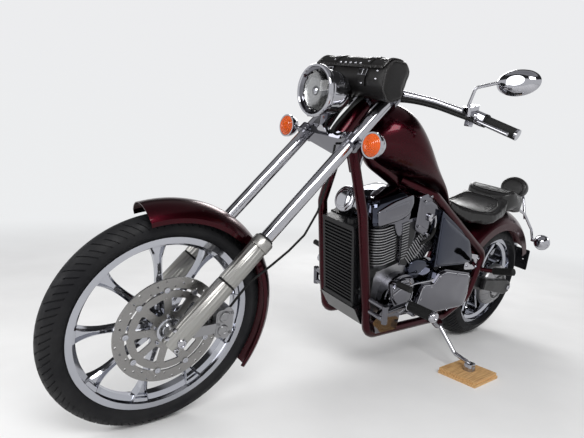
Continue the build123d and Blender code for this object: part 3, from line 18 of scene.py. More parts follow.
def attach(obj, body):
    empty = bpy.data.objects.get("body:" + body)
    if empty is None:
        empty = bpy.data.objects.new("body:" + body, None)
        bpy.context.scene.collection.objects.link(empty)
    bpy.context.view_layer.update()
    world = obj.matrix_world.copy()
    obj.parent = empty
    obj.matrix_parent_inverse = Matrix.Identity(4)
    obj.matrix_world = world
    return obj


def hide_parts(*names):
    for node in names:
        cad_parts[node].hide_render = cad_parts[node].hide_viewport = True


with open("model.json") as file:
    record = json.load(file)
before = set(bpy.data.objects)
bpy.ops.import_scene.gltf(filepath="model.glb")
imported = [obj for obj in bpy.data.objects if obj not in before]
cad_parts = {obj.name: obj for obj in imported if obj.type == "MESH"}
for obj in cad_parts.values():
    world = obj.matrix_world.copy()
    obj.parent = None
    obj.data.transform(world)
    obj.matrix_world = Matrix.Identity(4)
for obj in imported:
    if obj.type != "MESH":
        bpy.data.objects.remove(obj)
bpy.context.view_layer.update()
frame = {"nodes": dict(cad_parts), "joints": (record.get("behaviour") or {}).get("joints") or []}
nodes = frame["nodes"]

# %% [markdown]
# ## Working upright
#
# The machine leans, so points on it are awkward to write in the row frame. Every added piece is
# built upright, with its rear axle above the origin, and its mesh is then leaned over by one
# matrix. The rear wheel's joint says where that axle is in the row frame.

# %% From upright to leaning
LEAN = radians(9.75)
REAR_AXLE_Z = 0.3305
joints = {joint["name"]: joint for joint in frame["joints"]}
rear_axle = Vector(joints["rear_wheel_spin"]["pos_m"])
LEANED = (
    Matrix.Translation(rear_axle) @ Matrix.Rotation(-LEAN, 4, "X") @ Matrix.Translation((0, 0, -REAR_AXLE_Z))
)
print("upright origin in the row frame:", tuple(round(v, 3) for v in LEANED.translation))

# %% [markdown]
# ## Finishes
#
# Each finish is one Principled shader. Real paint, chrome and leather are never quite even, so a
# noise drives the roughness and a second one a very fine bump. Object coordinates keep the
# pattern still on the piece when it moves.


# %% A finish with uneven gloss
def add_node(tree, kind, *numbered, **named):
    """A shader node. Its inputs, by number or name, get values or links from other nodes' outputs."""
    node = tree.nodes.new("ShaderNode" + kind)
    for key, value in (*numbered, *named.items()):
        socket = node.inputs[key if isinstance(key, int) else key.replace("_", " ")]
        if isinstance(value, bpy.types.NodeSocket):
            tree.links.new(value, socket)
        else:
            socket.default_value = value
    return node


def object_noise(tree, scale, detail, stretch=(1, 1, 1)):
    """Noise in object coordinates, with its scale in cells per metre."""
    place = add_node(tree, "TexCoord").outputs["Object"]
    mapped = add_node(tree, "Mapping", Vector=place, Scale=stretch).outputs["Vector"]
    return add_node(tree, "TexNoise", Vector=mapped, Scale=scale, Detail=detail).outputs["Fac"]


def vary_gloss(tree, shader, pattern, low, high):
    """Roughness that runs from low to high with the pattern."""
    spread = add_node(tree, "MapRange", Value=pattern, From_Min=0.3, From_Max=0.7, To_Min=low, To_Max=high)
    tree.links.new(spread.outputs["Result"], shader.inputs["Roughness"])


def vary_colour(tree, shader, pattern, dark, light):
    """Base colour that runs from dark to light with the pattern."""
    ramp = add_node(tree, "ValToRGB", Fac=pattern)
    for stop, position, colour in zip(ramp.color_ramp.elements, (0.35, 0.65), (dark, light)):
        stop.position = position
        stop.color = (*colour, 1)
    tree.links.new(ramp.outputs["Color"], shader.inputs["Base Color"])


def add_bump(tree, shader, pattern, depth):
    """A bump whose full height is depth, in metres."""
    bump = add_node(tree, "Bump", Height=pattern, Strength=1.0, Distance=depth)
    tree.links.new(bump.outputs["Normal"], shader.inputs["Normal"])


def new_finish(name, colour, roughness, metallic=0.0, gloss=None, tint=None, bump=None, **sockets):
    """A material with one Principled shader. Gloss, tint and bump each begin with a noise's values."""
    material = bpy.data.materials.new(name)
    material.use_nodes = True
    tree = material.node_tree
    shader = tree.nodes["Principled BSDF"]
    sockets |= {"Base Color": (*colour, 1), "Roughness": roughness, "Metallic": metallic}
    for socket, value in sockets.items():
        shader.inputs[socket.replace("_", " ")].default_value = value
    for change, values in ((vary_gloss, gloss), (vary_colour, tint), (add_bump, bump)):
        if values:
            noise, *limits = values
            change(tree, shader, object_noise(tree, *noise), *limits)
    return material


# %% [markdown]
# ## Burgundy paint
#
# The tank, fenders and frame are a deep burgundy metallic under clear coat. In shadow it is almost
# black, and the light brings up the red. Fine flakes are a very small noise in the colour.

# %% Burgundy metallic paint
burgundy = new_finish(
    "burgundy_metallic", (0.03, 0.0006, 0.003), 0.26, 0.94, Coat_Weight=0.22, Coat_Roughness=0.03,
    gloss=((6, 4), 0.24, 0.34), tint=((900, 2), (0.016, 0.0004, 0.002), (0.052, 0.001, 0.006)),
)

# %% [markdown]
# ## Metals
#
# Plated parts are mirrors. Each chrome's colour is set below what plating reflects, as painted dark
# reflection: a little for the bars and wheels, much for the dim and dark covers. Plated sheet is
# never quite flat, so a broad shallow swell bends what it mirrors. Cast alloy has a fine grain
# instead, and the sliders and discs are dull and even.

# %% Chrome, brushed and cast metals
# colours below plating's own: painted dark reflection, slight in the bright and wheel chromes, strong in the
# dim and dark ones
chrome = new_finish(
    "bright_chrome", (0.44, 0.44, 0.47), 0.06, 1.0, gloss=((14, 6), 0.03, 0.09), bump=((11, 1), 0.0022)
)
chrome_painted_dim_reflection = new_finish(
    "chrome_painted_dim_reflection", (0.17, 0.17, 0.19), 0.05, 1.0, gloss=((14, 6), 0.03, 0.08), bump=((9, 1), 0.003)
)
chrome_painted_dark_reflection = new_finish(
    "chrome_painted_dark_reflection", (0.055, 0.06, 0.08), 0.04, 1.0, gloss=((14, 6), 0.03, 0.07), bump=((9, 1), 0.003)
)
wheel_chrome = new_finish("wheel_chrome", (0.43, 0.44, 0.48), 0.08, 1.0, gloss=((20, 6), 0.04, 0.13))
brushed_slider = new_finish("brushed_slider", (0.34, 0.335, 0.32), 0.38, 1.0, gloss=((7, 2), 0.35, 0.4))
disc_steel = new_finish("disc_steel", (0.27, 0.265, 0.26), 0.32, 1.0, gloss=((60, 5), 0.24, 0.38))
cast_alloy = new_finish(
    "cast_alloy", (0.31, 0.31, 0.32), 0.34, 1.0, gloss=((30, 5), 0.28, 0.45), bump=((500, 3), 0.0002)
)
reflector_silver = new_finish(
    "reflector_silver", (0.36, 0.36, 0.36), 0.14, 1.0, gloss=((50, 3), 0.1, 0.2)
)

# %% [markdown]
# ## Black parts, lenses and wood
#
# Each black differs in how it catches the light: paint and plastic are smooth, rubber is dull, and
# leather has a grain that the bump presses in. The tyres are paler where dust lies. The lenses let
# part of the light through, and the board's grain is a noise drawn out along its length.

# %% Black parts: paint, plastic, rubber and leather
black_paint = new_finish(
    "black_paint", (0.009, 0.009, 0.01), 0.34, Specular_IOR_Level=0.28, gloss=((25, 4), 0.28, 0.42)
)
black_gloss = new_finish(
    "black_gloss", (0.007, 0.007, 0.008), 0.14, Specular_IOR_Level=0.3, Coat_Weight=0.3,
    gloss=((8, 4), 0.08, 0.18),
)
black_rubber = new_finish(
    "black_rubber", (0.01, 0.01, 0.01), 0.62, Specular_IOR_Level=0.2,
    gloss=((60, 4), 0.55, 0.72), bump=((900, 3), 0.0001),
)
tyre_rubber = new_finish(
    "tyre_rubber", (0.012, 0.012, 0.013), 0.55, Specular_IOR_Level=0.18,
    gloss=((40, 4), 0.45, 0.7), tint=((9, 5), (0.006, 0.006, 0.0075), (0.012, 0.012, 0.013)),
)
black_leather = new_finish(
    "black_leather", (0.008, 0.0075, 0.0075), 0.32, Specular_IOR_Level=0.24,
    gloss=((20, 5), 0.28, 0.46), bump=((420, 4), 0.0004),
)
seat_leather = new_finish(
    "seat_leather", (0.01, 0.0095, 0.0095), 0.3, Specular_IOR_Level=0.5,
    gloss=((20, 5), 0.24, 0.4), bump=((420, 4), 0.0004),
)
waxed_lace = new_finish("waxed_lace", (0.014, 0.013, 0.013), 0.24, gloss=((90, 3), 0.18, 0.34))

# %% Lenses, mirror and wood
clear_lens = new_finish("clear_lens", (0.95, 0.96, 0.97), 0.03, Transmission_Weight=1.0, IOR=1.45)
amber_lens = new_finish("amber_lens", (0.82, 0.125, 0.005), 0.12, Transmission_Weight=0.35, IOR=1.45)
red_lens = new_finish("red_lens", (0.3, 0.004, 0.006), 0.1, Transmission_Weight=0.3, IOR=1.45)
mirror_glass = new_finish("mirror_glass", (0.86, 0.87, 0.88), 0.01, 1.0)
board_wood = new_finish(
    "board_wood", (0.5, 0.29, 0.13), 0.6,
    tint=((12, 6, (1, 14, 14)), (0.42, 0.22, 0.08), (0.68, 0.43, 0.19)),
)

# %% Finish of each solid
FINISHES = {
    burgundy: ["front_fender", "rear_fender", "fuel_tank", "frame_backbone", "frame_left", "frame_right"],
    chrome: [
        "fork_tubes", "handlebar", "handlebar_controls", "mirror_shells", "headlight_shell", "gauge",
        "front_signal_housings", "rear_signal_housings", "backrest_frame", "plate_bracket", "exhausts",
        "horn_cover", "side_stand",
    ],
    # these chromes carry painted dark reflection in their colour, dim and dark
    chrome_painted_dim_reflection: ["triple_clamps", "engine_covers", "forward_controls"],
    chrome_painted_dark_reflection: ["front_head", "rear_head", "side_covers"],
    wheel_chrome: ["front_rim", "rear_rim"],
    brushed_slider: ["fork_lowers"],
    disc_steel: ["front_disc", "rear_disc"],
    cast_alloy: ["engine_case", "front_cylinder", "rear_cylinder", "front_caliper", "rear_caliper"],
    black_paint: ["radiator", "swingarm"],
    black_gloss: ["radiator_cowl"],
    black_rubber: ["grips", "footpegs", "front_brake_hose"],
    tyre_rubber: ["front_tyre", "rear_tyre"],
    black_leather: ["handlebar_bag", "rider_seat", "pillion_pad", "backrest_pad"],
    clear_lens: ["headlight_lens"],
    amber_lens: ["front_signal_lenses", "rear_signal_lenses"],
    red_lens: ["tail_light"],
    mirror_glass: ["mirror_glasses"],
    board_wood: ["parking_board"],
}
for material, names in FINISHES.items():
    for name in names:
        mesh = nodes[name].data
        mesh.materials.clear()
        mesh.materials.append(material)
print("finished nodes:", sum(len(names) for names in FINISHES.values()), "of", len(nodes))

# %% [markdown]
# ## Building from listed points
#
# The added pieces are small turned, swept and extruded forms. A few helpers make them from upright
# points in millimetres, so the numbers can be compared with the CAD source. One mesh often holds
# many small parts of one finish on one body, such as all the bolts of a wheel.

# %% Helpers for turned and swept forms
MM = 0.001
UPRIGHT = LEANED.inverted()
CURVE_STEPS = 6
EASE_STEPS = 4


def at(x, y, z):
    """Row-frame point of an upright point in mm."""
    return LEANED @ Vector((x * MM, y * MM, z * MM))


def upright(point):
    """Upright mm of a row-frame point."""
    return (UPRIGHT @ point) / MM


def make_piece(name, forms, finish, body="chassis", smooth=40):
    """A piece from upright forms, leaned over, with its finish and its body."""
    points, faces = joined(forms)
    mesh = bpy.data.meshes.new(name)
    mesh.from_pydata([at(*point) for point in points], [], faces)
    mesh.materials.append(finish)
    work = bmesh.new()
    work.from_mesh(mesh)
    bmesh.ops.recalc_face_normals(work, faces=work.faces)
    work.to_mesh(mesh)
    work.free()
    mesh.shade_smooth()
    mesh.set_sharp_from_angle(angle=radians(smooth))
    piece = bpy.data.objects.new(name, mesh)
    bpy.context.scene.collection.objects.link(piece)
    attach(piece, body)
    print(name, len(mesh.polygons), "faces")
    return piece


def joined(forms):
    """Several forms as one."""
    points, faces = [], []
    for more, shapes in forms:
        faces += [tuple(index + len(points) for index in shape) for shape in shapes]
        points += more
    return points, faces


def rings(rows, sides, close_row=False, caps=True):
    """Faces between rings of equal length, given one after another."""
    faces = []
    for row in range(rows if close_row else rows - 1):
        here, there = row * sides, (row + 1) % rows * sides
        for k in range(sides):
            after = (k + 1) % sides
            faces.append((here + k, here + after, there + after, there + k))
    if caps:
        faces.append(tuple(range(sides))[::-1])
        faces.append(tuple((rows - 1) * sides + k for k in range(sides)))
    return faces


def circle(count, start=0.0):
    """Cosine and sine of each of count even steps round a circle."""
    turns = [start + 2 * pi * k / count for k in range(count)]
    return [(cos(turn), sin(turn)) for turn in turns]


def lathe(profile, centre, axis, sides=24):
    """A turned form: rings of (radius, height) along an axis, closed at both ends."""
    axis = Vector(axis).normalized()
    across = axis.orthogonal().normalized()
    other = axis.cross(across)
    ways = [across * c + other * s for c, s in circle(sides)]
    points = [Vector(centre) + axis * height + way * radius for radius, height in profile for way in ways]
    return points, rings(len(profile), sides)


def swept(path, radius, sides=8, closed=False):
    """A round bar along a path."""
    path = [Vector(point) for point in path]
    count = len(path)
    points = []
    side = None
    for index, point in enumerate(path):
        before = path[index - 1] if closed or index else point
        after = path[(index + 1) % count] if closed or index < count - 1 else point
        ahead = (after - before).normalized()
        side = ahead.orthogonal() if side is None else side - ahead * side.dot(ahead)
        side.normalize()
        other = ahead.cross(side)
        points += [point + (side * c + other * s) * radius for c, s in circle(sides)]
    return points, rings(count, sides, closed, not closed)


def smooth_loop(corners, closed=True):
    """A curve through the corners."""
    corners = [Vector(corner) for corner in corners]
    count = len(corners)
    curve = []
    for index in range(count if closed else count - 1):
        p1 = corners[index]
        p2 = corners[(index + 1) % count]
        p0 = corners[index - 1] if closed or index else p1
        p3 = corners[(index + 2) % count] if closed or index < count - 2 else p2
        for t in (step / CURVE_STEPS for step in range(CURVE_STEPS)):
            bend = (2 * p0 - 5 * p1 + 4 * p2 - p3) * t * t + (3 * p1 - p0 - 3 * p2 + p3) * t**3
            curve.append(0.5 * (2 * p1 + (p2 - p0) * t + bend))
    return curve if closed else curve + corners[-1:]


def slab(outline, start, depth, bevel=1.2):
    """A flat plate with eased edges: the outline moved along depth, its rims drawn in a little."""
    outline = [Vector(point) for point in outline]
    start, depth = Vector(start), Vector(depth)
    middle = sum(outline, Vector()) / len(outline)
    points = [
        start + point + (middle - point).normalized() * inset + depth.normalized() * along
        for along, inset in ((0, bevel), (bevel, 0), (depth.length - bevel, 0), (depth.length, bevel))
        for point in outline
    ]
    return points, rings(4, len(outline))


def eased(outline, reach=12):
    """An outline with its corners rounded."""
    outline = [Vector(point) for point in outline]
    curve = []
    for index, corner in enumerate(outline):
        back_edge = outline[index - 1] - corner
        next_edge = outline[(index + 1) % len(outline)] - corner
        first = corner + back_edge.normalized() * min(reach, back_edge.length * 0.45)
        last = corner + next_edge.normalized() * min(reach, next_edge.length * 0.45)
        for t in (step / EASE_STEPS for step in range(EASE_STEPS + 1)):
            curve.append(first * (1 - t) ** 2 + corner * (2 * t * (1 - t)) + last * t**2)
    return curve


# columns: share of the outline kept, share of the rise
CROWN = (
    (1, 0), (1, 0.22), (0.985, 0.46), (0.95, 0.62), (0.86, 0.8),
    (0.68, 0.92), (0.42, 0.98), (0.16, 1), (0.02, 1),
)


def crowned(outline, y, rise, reach=12, foot=4):
    """A pressed cover on a side: an outline in X and Z, a crisp rim and a crowned face."""
    curve = eased([(x, 0, z) for x, z in outline], reach)
    middle = sum(curve, Vector()) / len(curve)
    way = 1 if y > 0 else -1
    points = [point + Vector((0, y - way * foot, 0)) for point in curve]
    for kept, share in CROWN:
        level = Vector((0, y + way * rise * share, 0))
        points += [middle + (point - middle) * kept + level for point in curve]
    return points, rings(len(CROWN) + 1, len(curve))


def bolt(centre, axis, radius, height):
    """A socket-head bolt."""
    # columns: share of the radius, level
    head = ((1, -2), (1, height * 0.82), (0.86, height), (0.56, height), (0.5, height * 0.3))
    return lathe([(radius * share, level) for share, level in head], centre, axis, 12)


# %% [markdown]
# ## Tyres
#
# The real tyres have slanted grooves that stop short of the middle and the shoulders. The CAD tyre
# is smooth, so each tyre is built again over the same section, ring by ring. Its grid leans with
# the grooves, so that their walls fall on grid lines and stay crisp with few faces.

# %% Tyres with slanted grooves
# columns: share of the pitch, depth share, share of the half width where the groove starts
GROOVES = (
    (0.00, 0, 1), (0.02, 1, 0.14), (0.105, 1, 0.14), (0.125, 0, 1),
    (0.48, 0, 1), (0.5, 1, 0.36), (0.57, 1, 0.36), (0.59, 0, 1),
)
ACROSS = (0, 0.07, 0.14, 0.18, 0.32, 0.36, 0.4, 0.54, 0.68, 0.74, 0.78, 0.86, 0.93, 1)
GROOVE_END = 0.76
# columns: node, body, axle X and Z, radius, crown radius, half width, half width and radius at the
# flange, bead radius, pitches, sweep in radians, depth
TYRES = (
    ("front_tyre", "front_wheel", 1805, 348.67, 348, 46, 46, 30, 282.2, 268.7, 46, 0.17, 3.2),
    ("rear_tyre", "rear_wheel", 0, 330.49, 329, 102, 100, 76, 243.1, 229.6, 40, 0.3, 4.5),
)


def grooved_tyre(axle_x, axle_z, outer, crown, half, flange_half, flange_r, bead_r, pitches, sweep, depth):
    """The tyre's skin from bead to bead."""
    lean_max = atan2(half, (crown * crown - half * half + 1e-9) ** 0.5)
    shoulder_r = outer - crown + crown * cos(lean_max)
    middle = ((half + flange_half) / 2 + 3, (shoulder_r + flange_r) / 2)
    across = [-share for share in reversed(ACROSS[1:])] + list(ACROSS)
    rows = [("flat", -flange_half, bead_r), ("flat", -flange_half, flange_r), ("flat", -middle[0], middle[1])]
    rows += [("crown", share, 0) for share in across]
    rows += [("flat", middle[0], middle[1]), ("flat", flange_half, flange_r), ("flat", flange_half, bead_r)]
    sides = pitches * len(GROOVES)
    points = []
    for kind, first, second in rows:
        for pitch in range(pitches):
            for share, cut, begins in GROOVES:
                turn = (pitch + share) * 2 * pi / pitches
                if kind == "crown":
                    turn += sweep * abs(first)
                    lean = first * lean_max
                    cutting = begins - 0.01 <= abs(first) <= GROOVE_END
                    reach = crown - (depth * cut if cutting else 0)
                    y = reach * sin(lean)
                    radius = outer - crown + reach * cos(lean)
                else:
                    turn += sweep
                    y, radius = first, second
                points.append((axle_x + radius * cos(turn), y, axle_z + radius * sin(turn)))
    return points, rings(len(rows), sides, True, False)


for node, body, *sizes in TYRES:
    made = make_piece(node + "_tread", [grooved_tyre(*sizes)], tyre_rubber, body, 35)
    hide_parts(node)

# %% [markdown]
# ## Wheels and brakes
#
# The front disc floats on nine steel buttons, and six screws hold each disc's carrier to its hub.
# The caliper ahead is silver, in two halves, with round caps over its pistons. Behind, a ribbed
# dome covers the final drive and a flat arm runs forward from it.

# %% Buttons and screws
FRONT_AXLE = Vector((1805, 0, 348.67))
REAR_AXLE = Vector((0, 0, 330.49))
LEFT = (0, 1, 0)
RIGHT = (0, -1, 0)
DISC_FACE = 63.5
BUTTON = ((8.8, -1), (8.8, 0.5), (7.8, 1.0), (5.6, 1.0), (5.2, 0.4), (3.2, 0.4), (3.0, 1.1))
HUB_RING = ((40, -2), (40, 1), (37, 3.5), (30, 3.5), (28, 1.5), (23, 1.5), (21, 4))


def ring_of(form, axle, radius, count, y, start=0.0):
    """The form repeated on a circle round an axle; form takes the centre."""
    return [form(axle + Vector((radius * c, y, radius * s))) for c, s in circle(count, start)]


def screw_ring(way, size, height, *ring):
    """Screws of one size on a circle round an axle."""
    return ring_of(lambda centre: bolt(centre, way, size, height), *ring)


front_screws = ring_of(lambda centre: lathe(BUTTON, centre, LEFT, 20), FRONT_AXLE, 132, 9, DISC_FACE + 2)
front_screws += screw_ring(LEFT, 5.5, 6, FRONT_AXLE, 49, 6, DISC_FACE, 0.3)
make_piece("front_disc_screws", front_screws, wheel_chrome, "front_wheel")
rear_screws = screw_ring(RIGHT, 5.5, 6, REAR_AXLE, 49, 6, -103.5)
make_piece("rear_disc_screws", rear_screws, wheel_chrome, "rear_wheel")
hub_ring = lathe(HUB_RING, FRONT_AXLE + Vector((0, DISC_FACE, 0)), LEFT, 40)
make_piece("front_hub_ring", [hub_ring], wheel_chrome, "front_wheel")

# %% Final drive and the arm over it
# columns: radius, Y
DRIVE = (
    (112, 100), (113, 116), (110, 124), (103, 132), (90, 142),
    (70, 150), (66, 147), (40, 149), (36, 153), (10, 155),
)
DRIVE_RIB = ((109, 126), (94, 139), (74, 148.5))
ARM_COVER = (
    (196, 0, 396), (-40, 0, 372), (-78, 0, 356), (-94, 0, 332), (-84, 0, 306), (-44, 0, 292), (196, 0, 344)
)
AXLE_NUT = ((17, -2), (17, 4), (14, 7), (8, 7), (7, 4))
drive = [lathe(DRIVE, REAR_AXLE, LEFT, 72)]
for c, s in circle(14):
    drive.append(swept([REAR_AXLE + Vector((r * c, y, r * s)) for r, y in DRIVE_RIB], 2.6))
drive += screw_ring(LEFT, 4.5, 5, REAR_AXLE, 55, 8, 147.5, 0.2)
make_piece("final_drive_cover", drive, cast_alloy)
make_piece("swingarm_cover", [slab(ARM_COVER, (0, 149, 0), (0, 26, 0), 6)], black_paint)
make_piece("rear_axle_bolt", [lathe(AXLE_NUT, (-60, 175, 332), LEFT, 6)], chrome)

# %% Caliper halves, piston caps and bolts
CALIPER = FRONT_AXLE + Vector((-172, 88, 6))
PISTON_CAP = ((19, -1), (19, 3), (16.5, 6), (11, 6), (10, 4.5), (3, 4.5))
BRIDGE = ((-26, 0, -40), (24, 0, -40), (28, 0, -30), (28, 0, 30), (24, 0, 40), (-26, 0, 40))
caliper = [lathe(PISTON_CAP, CALIPER + Vector((2, 0, z)), LEFT, 28) for z in (-23, 23)]
caliper += [bolt(CALIPER + Vector((x, -4, z)), LEFT, 5, 8) for x, z in ((-24, 34), (-24, -34), (22, 0))]
caliper.append(slab(BRIDGE, CALIPER + Vector((0, -3, 0)), (0, 4, 0)))
make_piece("front_caliper_cover", caliper, cast_alloy, "steering")

# %% [markdown]
# ## Fork
#
# The sliders are extruded with flutes and left brushed, which gives their soft stripes. A collar
# and a black seal close the top, a thin dark joint runs round each, and chrome bolts pinch the axle
# and the tubes.

# %% Fluted sliders
RAKE = radians(41)
LEG = Vector((-sin(RAKE), 0, cos(RAKE)))
LEG_AHEAD = Vector((cos(RAKE), 0, sin(RAKE)))
LEG_Y = 116
SLIDER_JOINT = 206
SLIDER_TOP = 385
# columns: lower and upper end of each fluted sleeve, up the leg from the axle
SLEEVES = ((-31.5, SLIDER_JOINT), (SLIDER_JOINT + 6, 352))
SLEEVE_R = 31.6
SLEEVE_EASE = 2
FLUTES = 14
FLUTE_DEPTH = 1.5
FLUTE_SHAPE = (0, 0.1, 0.5, 0.9, 1, 0.9, 0.5, 0.1)
COLLAR = ((29, -34), (33, -33), (33.4, -30), (33.4, -4), (31, 0), (24, 0))
SEAL = ((27, -1), (27, 4), (25, 7), (22.9, 8))
DARK_JOINT = ((29.6, 0), (30.2, 1), (30.2, 5), (29.6, 6))
AXLE_END = ((14, -6), (14, 2), (12, 4), (8.5, 4), (8, 1))
STEM_NUT = ((22, 0), (22, 6), (19, 10), (10, 10), (9, 7))


def leg_point(side, along, ahead=0.0, out=0.0):
    """A point by its distance up a leg from the axle, ahead of it and outward."""
    return FRONT_AXLE + Vector((0, side * (LEG_Y + out), 0)) + LEG * along + LEG_AHEAD * ahead


def fluted(side, low, high):
    """A sleeve with flutes along it and eased ends."""
    steps = FLUTES * len(FLUTE_SHAPE)
    ease = SLEEVE_EASE
    points = []
    for along, inset in ((low, ease), (low + ease, 0), (high - ease, 0), (high, ease)):
        for k, (c, s) in enumerate(circle(steps)):
            reach = SLEEVE_R - max(inset, FLUTE_DEPTH * FLUTE_SHAPE[k % len(FLUTE_SHAPE)])
            points.append(leg_point(side, along) + (LEG_AHEAD * c + Vector(LEFT) * s) * reach)
    return points, rings(4, steps)


sleeves, collars, seals, fork_bolts = [], [], [], []
for side in (1, -1):
    out = (0, side, 0)
    sleeves += [fluted(side, low, high) for low, high in SLEEVES]
    collars.append(lathe(COLLAR, leg_point(side, SLIDER_TOP), LEG, 48))
    seals.append(lathe(SEAL, leg_point(side, SLIDER_TOP), LEG, 36))
    seals.append(lathe(DARK_JOINT, leg_point(side, SLIDER_JOINT), LEG, 36))
    fork_bolts.append(lathe(AXLE_END, FRONT_AXLE + Vector((0, side * 148, 0)), out))
    fork_bolts.append(bolt(leg_point(side, -24, -2, 26), out, 8, 10))
    fork_bolts += [bolt(leg_point(side, level, 27, 6), LEG_AHEAD, 7, 9) for level in (-16, 14)]
    fork_bolts += [bolt(leg_point(side, level, 30, -20), LEG_AHEAD, 5, 7) for level in (815, 829, 1035)]
fork_bolts.append(lathe(STEM_NUT, FRONT_AXLE + LEG * 1060 + LEG_AHEAD * -16, LEG, 6))
make_piece("fork_slider_flutes", sleeves, brushed_slider, "steering", 60)
make_piece("fork_collars", collars, brushed_slider, "steering", 50)
make_piece("fork_seals", seals, black_rubber, "steering")
make_piece("fork_bolts", fork_bolts, chrome, "steering")

# %% [markdown]
# ## Headlight
#
# Behind the clear front is a reflector with a small bulb shield in its middle. It is a dish of many
# flat facets, as pressed reflectors have. A chrome ring, dimmed by painted dark reflection, lines
# the bezel, and a raised rim holds the glass.

# %% Reflector and rim
LAMP = Vector((1350, 0, 1113))
TILT = radians(4)
LAMP_AXIS = Vector((cos(TILT), 0, -sin(TILT)))
LAMP_UP = LAMP_AXIS.cross(Vector(LEFT))
FACET_ROWS = (67, 60, 52, 44, 36, 28, 20)
FACETS = 28
DISH_DEPTH = 14
DISH_RIM = 6
FACET_STEP = 1.6
SHIELD = ((15, -9), (15, 4), (12, 9), (6, 11), (1, 11.5))
INNER_RING = ((78, 21), (75, 19), (69, 14), (67, 12.5), (66, 10), (78, 8))
LAMP_RIM = ((84, 4), (85.5, 8), (85.5, 18), (83, 22), (77, 22), (74, 17), (76, 12), (79, 6))


def lamp_ring(profile):
    """A ring round the lamp, with its profile closed on itself."""
    return lathe(profile, LAMP, LAMP_AXIS, 64)[0], rings(len(profile), 64, True, False)


dish = []
for row, radius in enumerate(FACET_ROWS):
    sunk = DISH_RIM - DISH_DEPTH * (1 - (radius / FACET_ROWS[0]) ** 2)
    for k, (c, s) in enumerate(circle(FACETS, row % 2 * pi / FACETS)):
        level = sunk + (FACET_STEP if k % 2 else -FACET_STEP)
        dish.append(LAMP + LAMP_AXIS * level + (Vector((0, c, 0)) + LAMP_UP * s) * radius)
dish = [(dish, rings(len(FACET_ROWS), FACETS))]
make_piece("headlight_reflector", dish, reflector_silver, "steering", 8)
make_piece("headlight_inner_ring", [lamp_ring(INNER_RING)], chrome_painted_dim_reflection, "steering")
rim = [lathe(SHIELD, LAMP, LAMP_AXIS, 28), lamp_ring(LAMP_RIM)]
rim += [bolt(LAMP + LAMP_AXIS * 12 + Vector((0, y, -82)), (0, y / 20, -1), 3.5, 4) for y in (-14, 14)]
make_piece("headlight_rim", rim, chrome, "steering")

# %% [markdown]
# ## Cables, lamp glasses and stand foot
#
# Cables and hoses run along the front of the bar from the levers, pass under the bag and go down
# between the fork legs, where they hide the steering head. Each amber glass has pressed ribs, which
# are raised on a dome and not painted, so that they catch the light from any side. The stand ends
# in a cast foot with notches round it.

# %% Cables along the bar and down the fork
BAR_RUN = (
    (880, 326, 1115), (936, 270, 1128), (995, 209, 1142), (1050, 146, 1146), (1094, 98, 1136), (1128, 72, 1106)
)
# columns: X, share of Y, Z, share of the bulge
FORK_RUN = (
    (1190, 1.1, 1126, 0), (1220, 1, 1084, 1), (1254, 0.9, 1040, 1), (1274, 0.8, 1008, 1),
    (1280, 0.7, 988, 0), (1268, 0.7, 974, 0),
)
cables = []
for side in (1, -1):
    for ahead, drop in ((0, 0), (8, -7), (-2, -11)):
        run = [(x + ahead, side * y, z + drop) for x, y, z in BAR_RUN]
        cables.append(swept(smooth_loop(run, False), 4.2))
for y, bulge in ((-52, 4), (-30, 12), (-8, 0), (14, 9), (36, 2), (54, 12)):
    run = [(x + bulge * more, y * share, z) for x, share, z, more in FORK_RUN]
    cables.append(swept(smooth_loop(run, False), 4.6))
make_piece("bar_cables", cables, black_rubber, "steering")

# %% Ribbed amber glasses
GLASS_HEIGHT = 15
RIB_HEIGHT = 1.7
GLASS_ROWS = 14


def ribbed_glass(centre, way, radius):
    """A dome with fine ribs around it, flat behind."""
    points = []
    for row in range(GLASS_ROWS):
        share = 1 - row / (GLASS_ROWS - 0.5)
        reach = radius * share
        x = centre[0] + way * (GLASS_HEIGHT * (1 - share * share) + row % 2 * RIB_HEIGHT)
        points += [(x, centre[1] + reach * c, centre[2] + reach * s) for c, s in circle(48)]
    return points, rings(GLASS_ROWS, 48)


for name, way, body in (("front_signal_lenses", 1, "steering"), ("rear_signal_lenses", -1, "chassis")):
    spots = [upright(vertex.co) for vertex in nodes[name].data.vertices]
    glasses = []
    for side in (1, -1):
        half = [spot for spot in spots if spot.y * side > 0]
        low, high = ([end(spot[axis] for spot in half) for axis in range(3)] for end in (min, max))
        base = high[0] - GLASS_HEIGHT if way == 1 else low[0] + GLASS_HEIGHT
        centre = (base, (low[1] + high[1]) / 2, (low[2] + high[2]) / 2)
        glasses.append(ribbed_glass(centre, way, (high[2] - low[2]) / 2))
    made = make_piece(name.replace("lenses", "glasses"), glasses, amber_lens, body, 20)
    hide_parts(name)

# %% Notched foot of the side stand
# columns: height above the sole, radius
FOOT = ((0.5, 19), (2, 22), (16, 22), (20, 20), (21, 12))
NOTCH = 3
stand = [vertex.co for vertex in nodes["side_stand"].data.vertices]
sole = min(point.z for point in stand)
toe = [point for point in stand if point.z < sole + 0.006]
middle = sum(toe, Vector()) / len(toe)
foot_points = []
for rise, reach in FOOT:
    for k, (c, s) in enumerate(circle(40)):
        radius = (reach - (NOTCH if k % 5 < 2 else 0)) * MM
        spot = Vector((middle.x + radius * c, middle.y + radius * s, sole + rise * MM))
        foot_points.append(upright(spot))
make_piece("stand_foot", [(foot_points, rings(len(FOOT), 40))], cast_alloy, "stand")

# %% [markdown]
# ## Engine
#
# Chrome covers hide the castings. Each head has a skirt that hangs over the upper fins, a pressed
# face, a crowned lid and screws. The long left cover, the round one and the side covers are crowned
# skins over flat solids, and a rolled bead or screws run round their edges.

# %% Head plates, lids and screws
CRANK = Vector((830, 0, 330))
FIN_TOP = 346
# columns: degrees ahead of upright, 1 for the front cylinder and -1 for the rear one
BANKS = ((14, 1), (-38, -1))
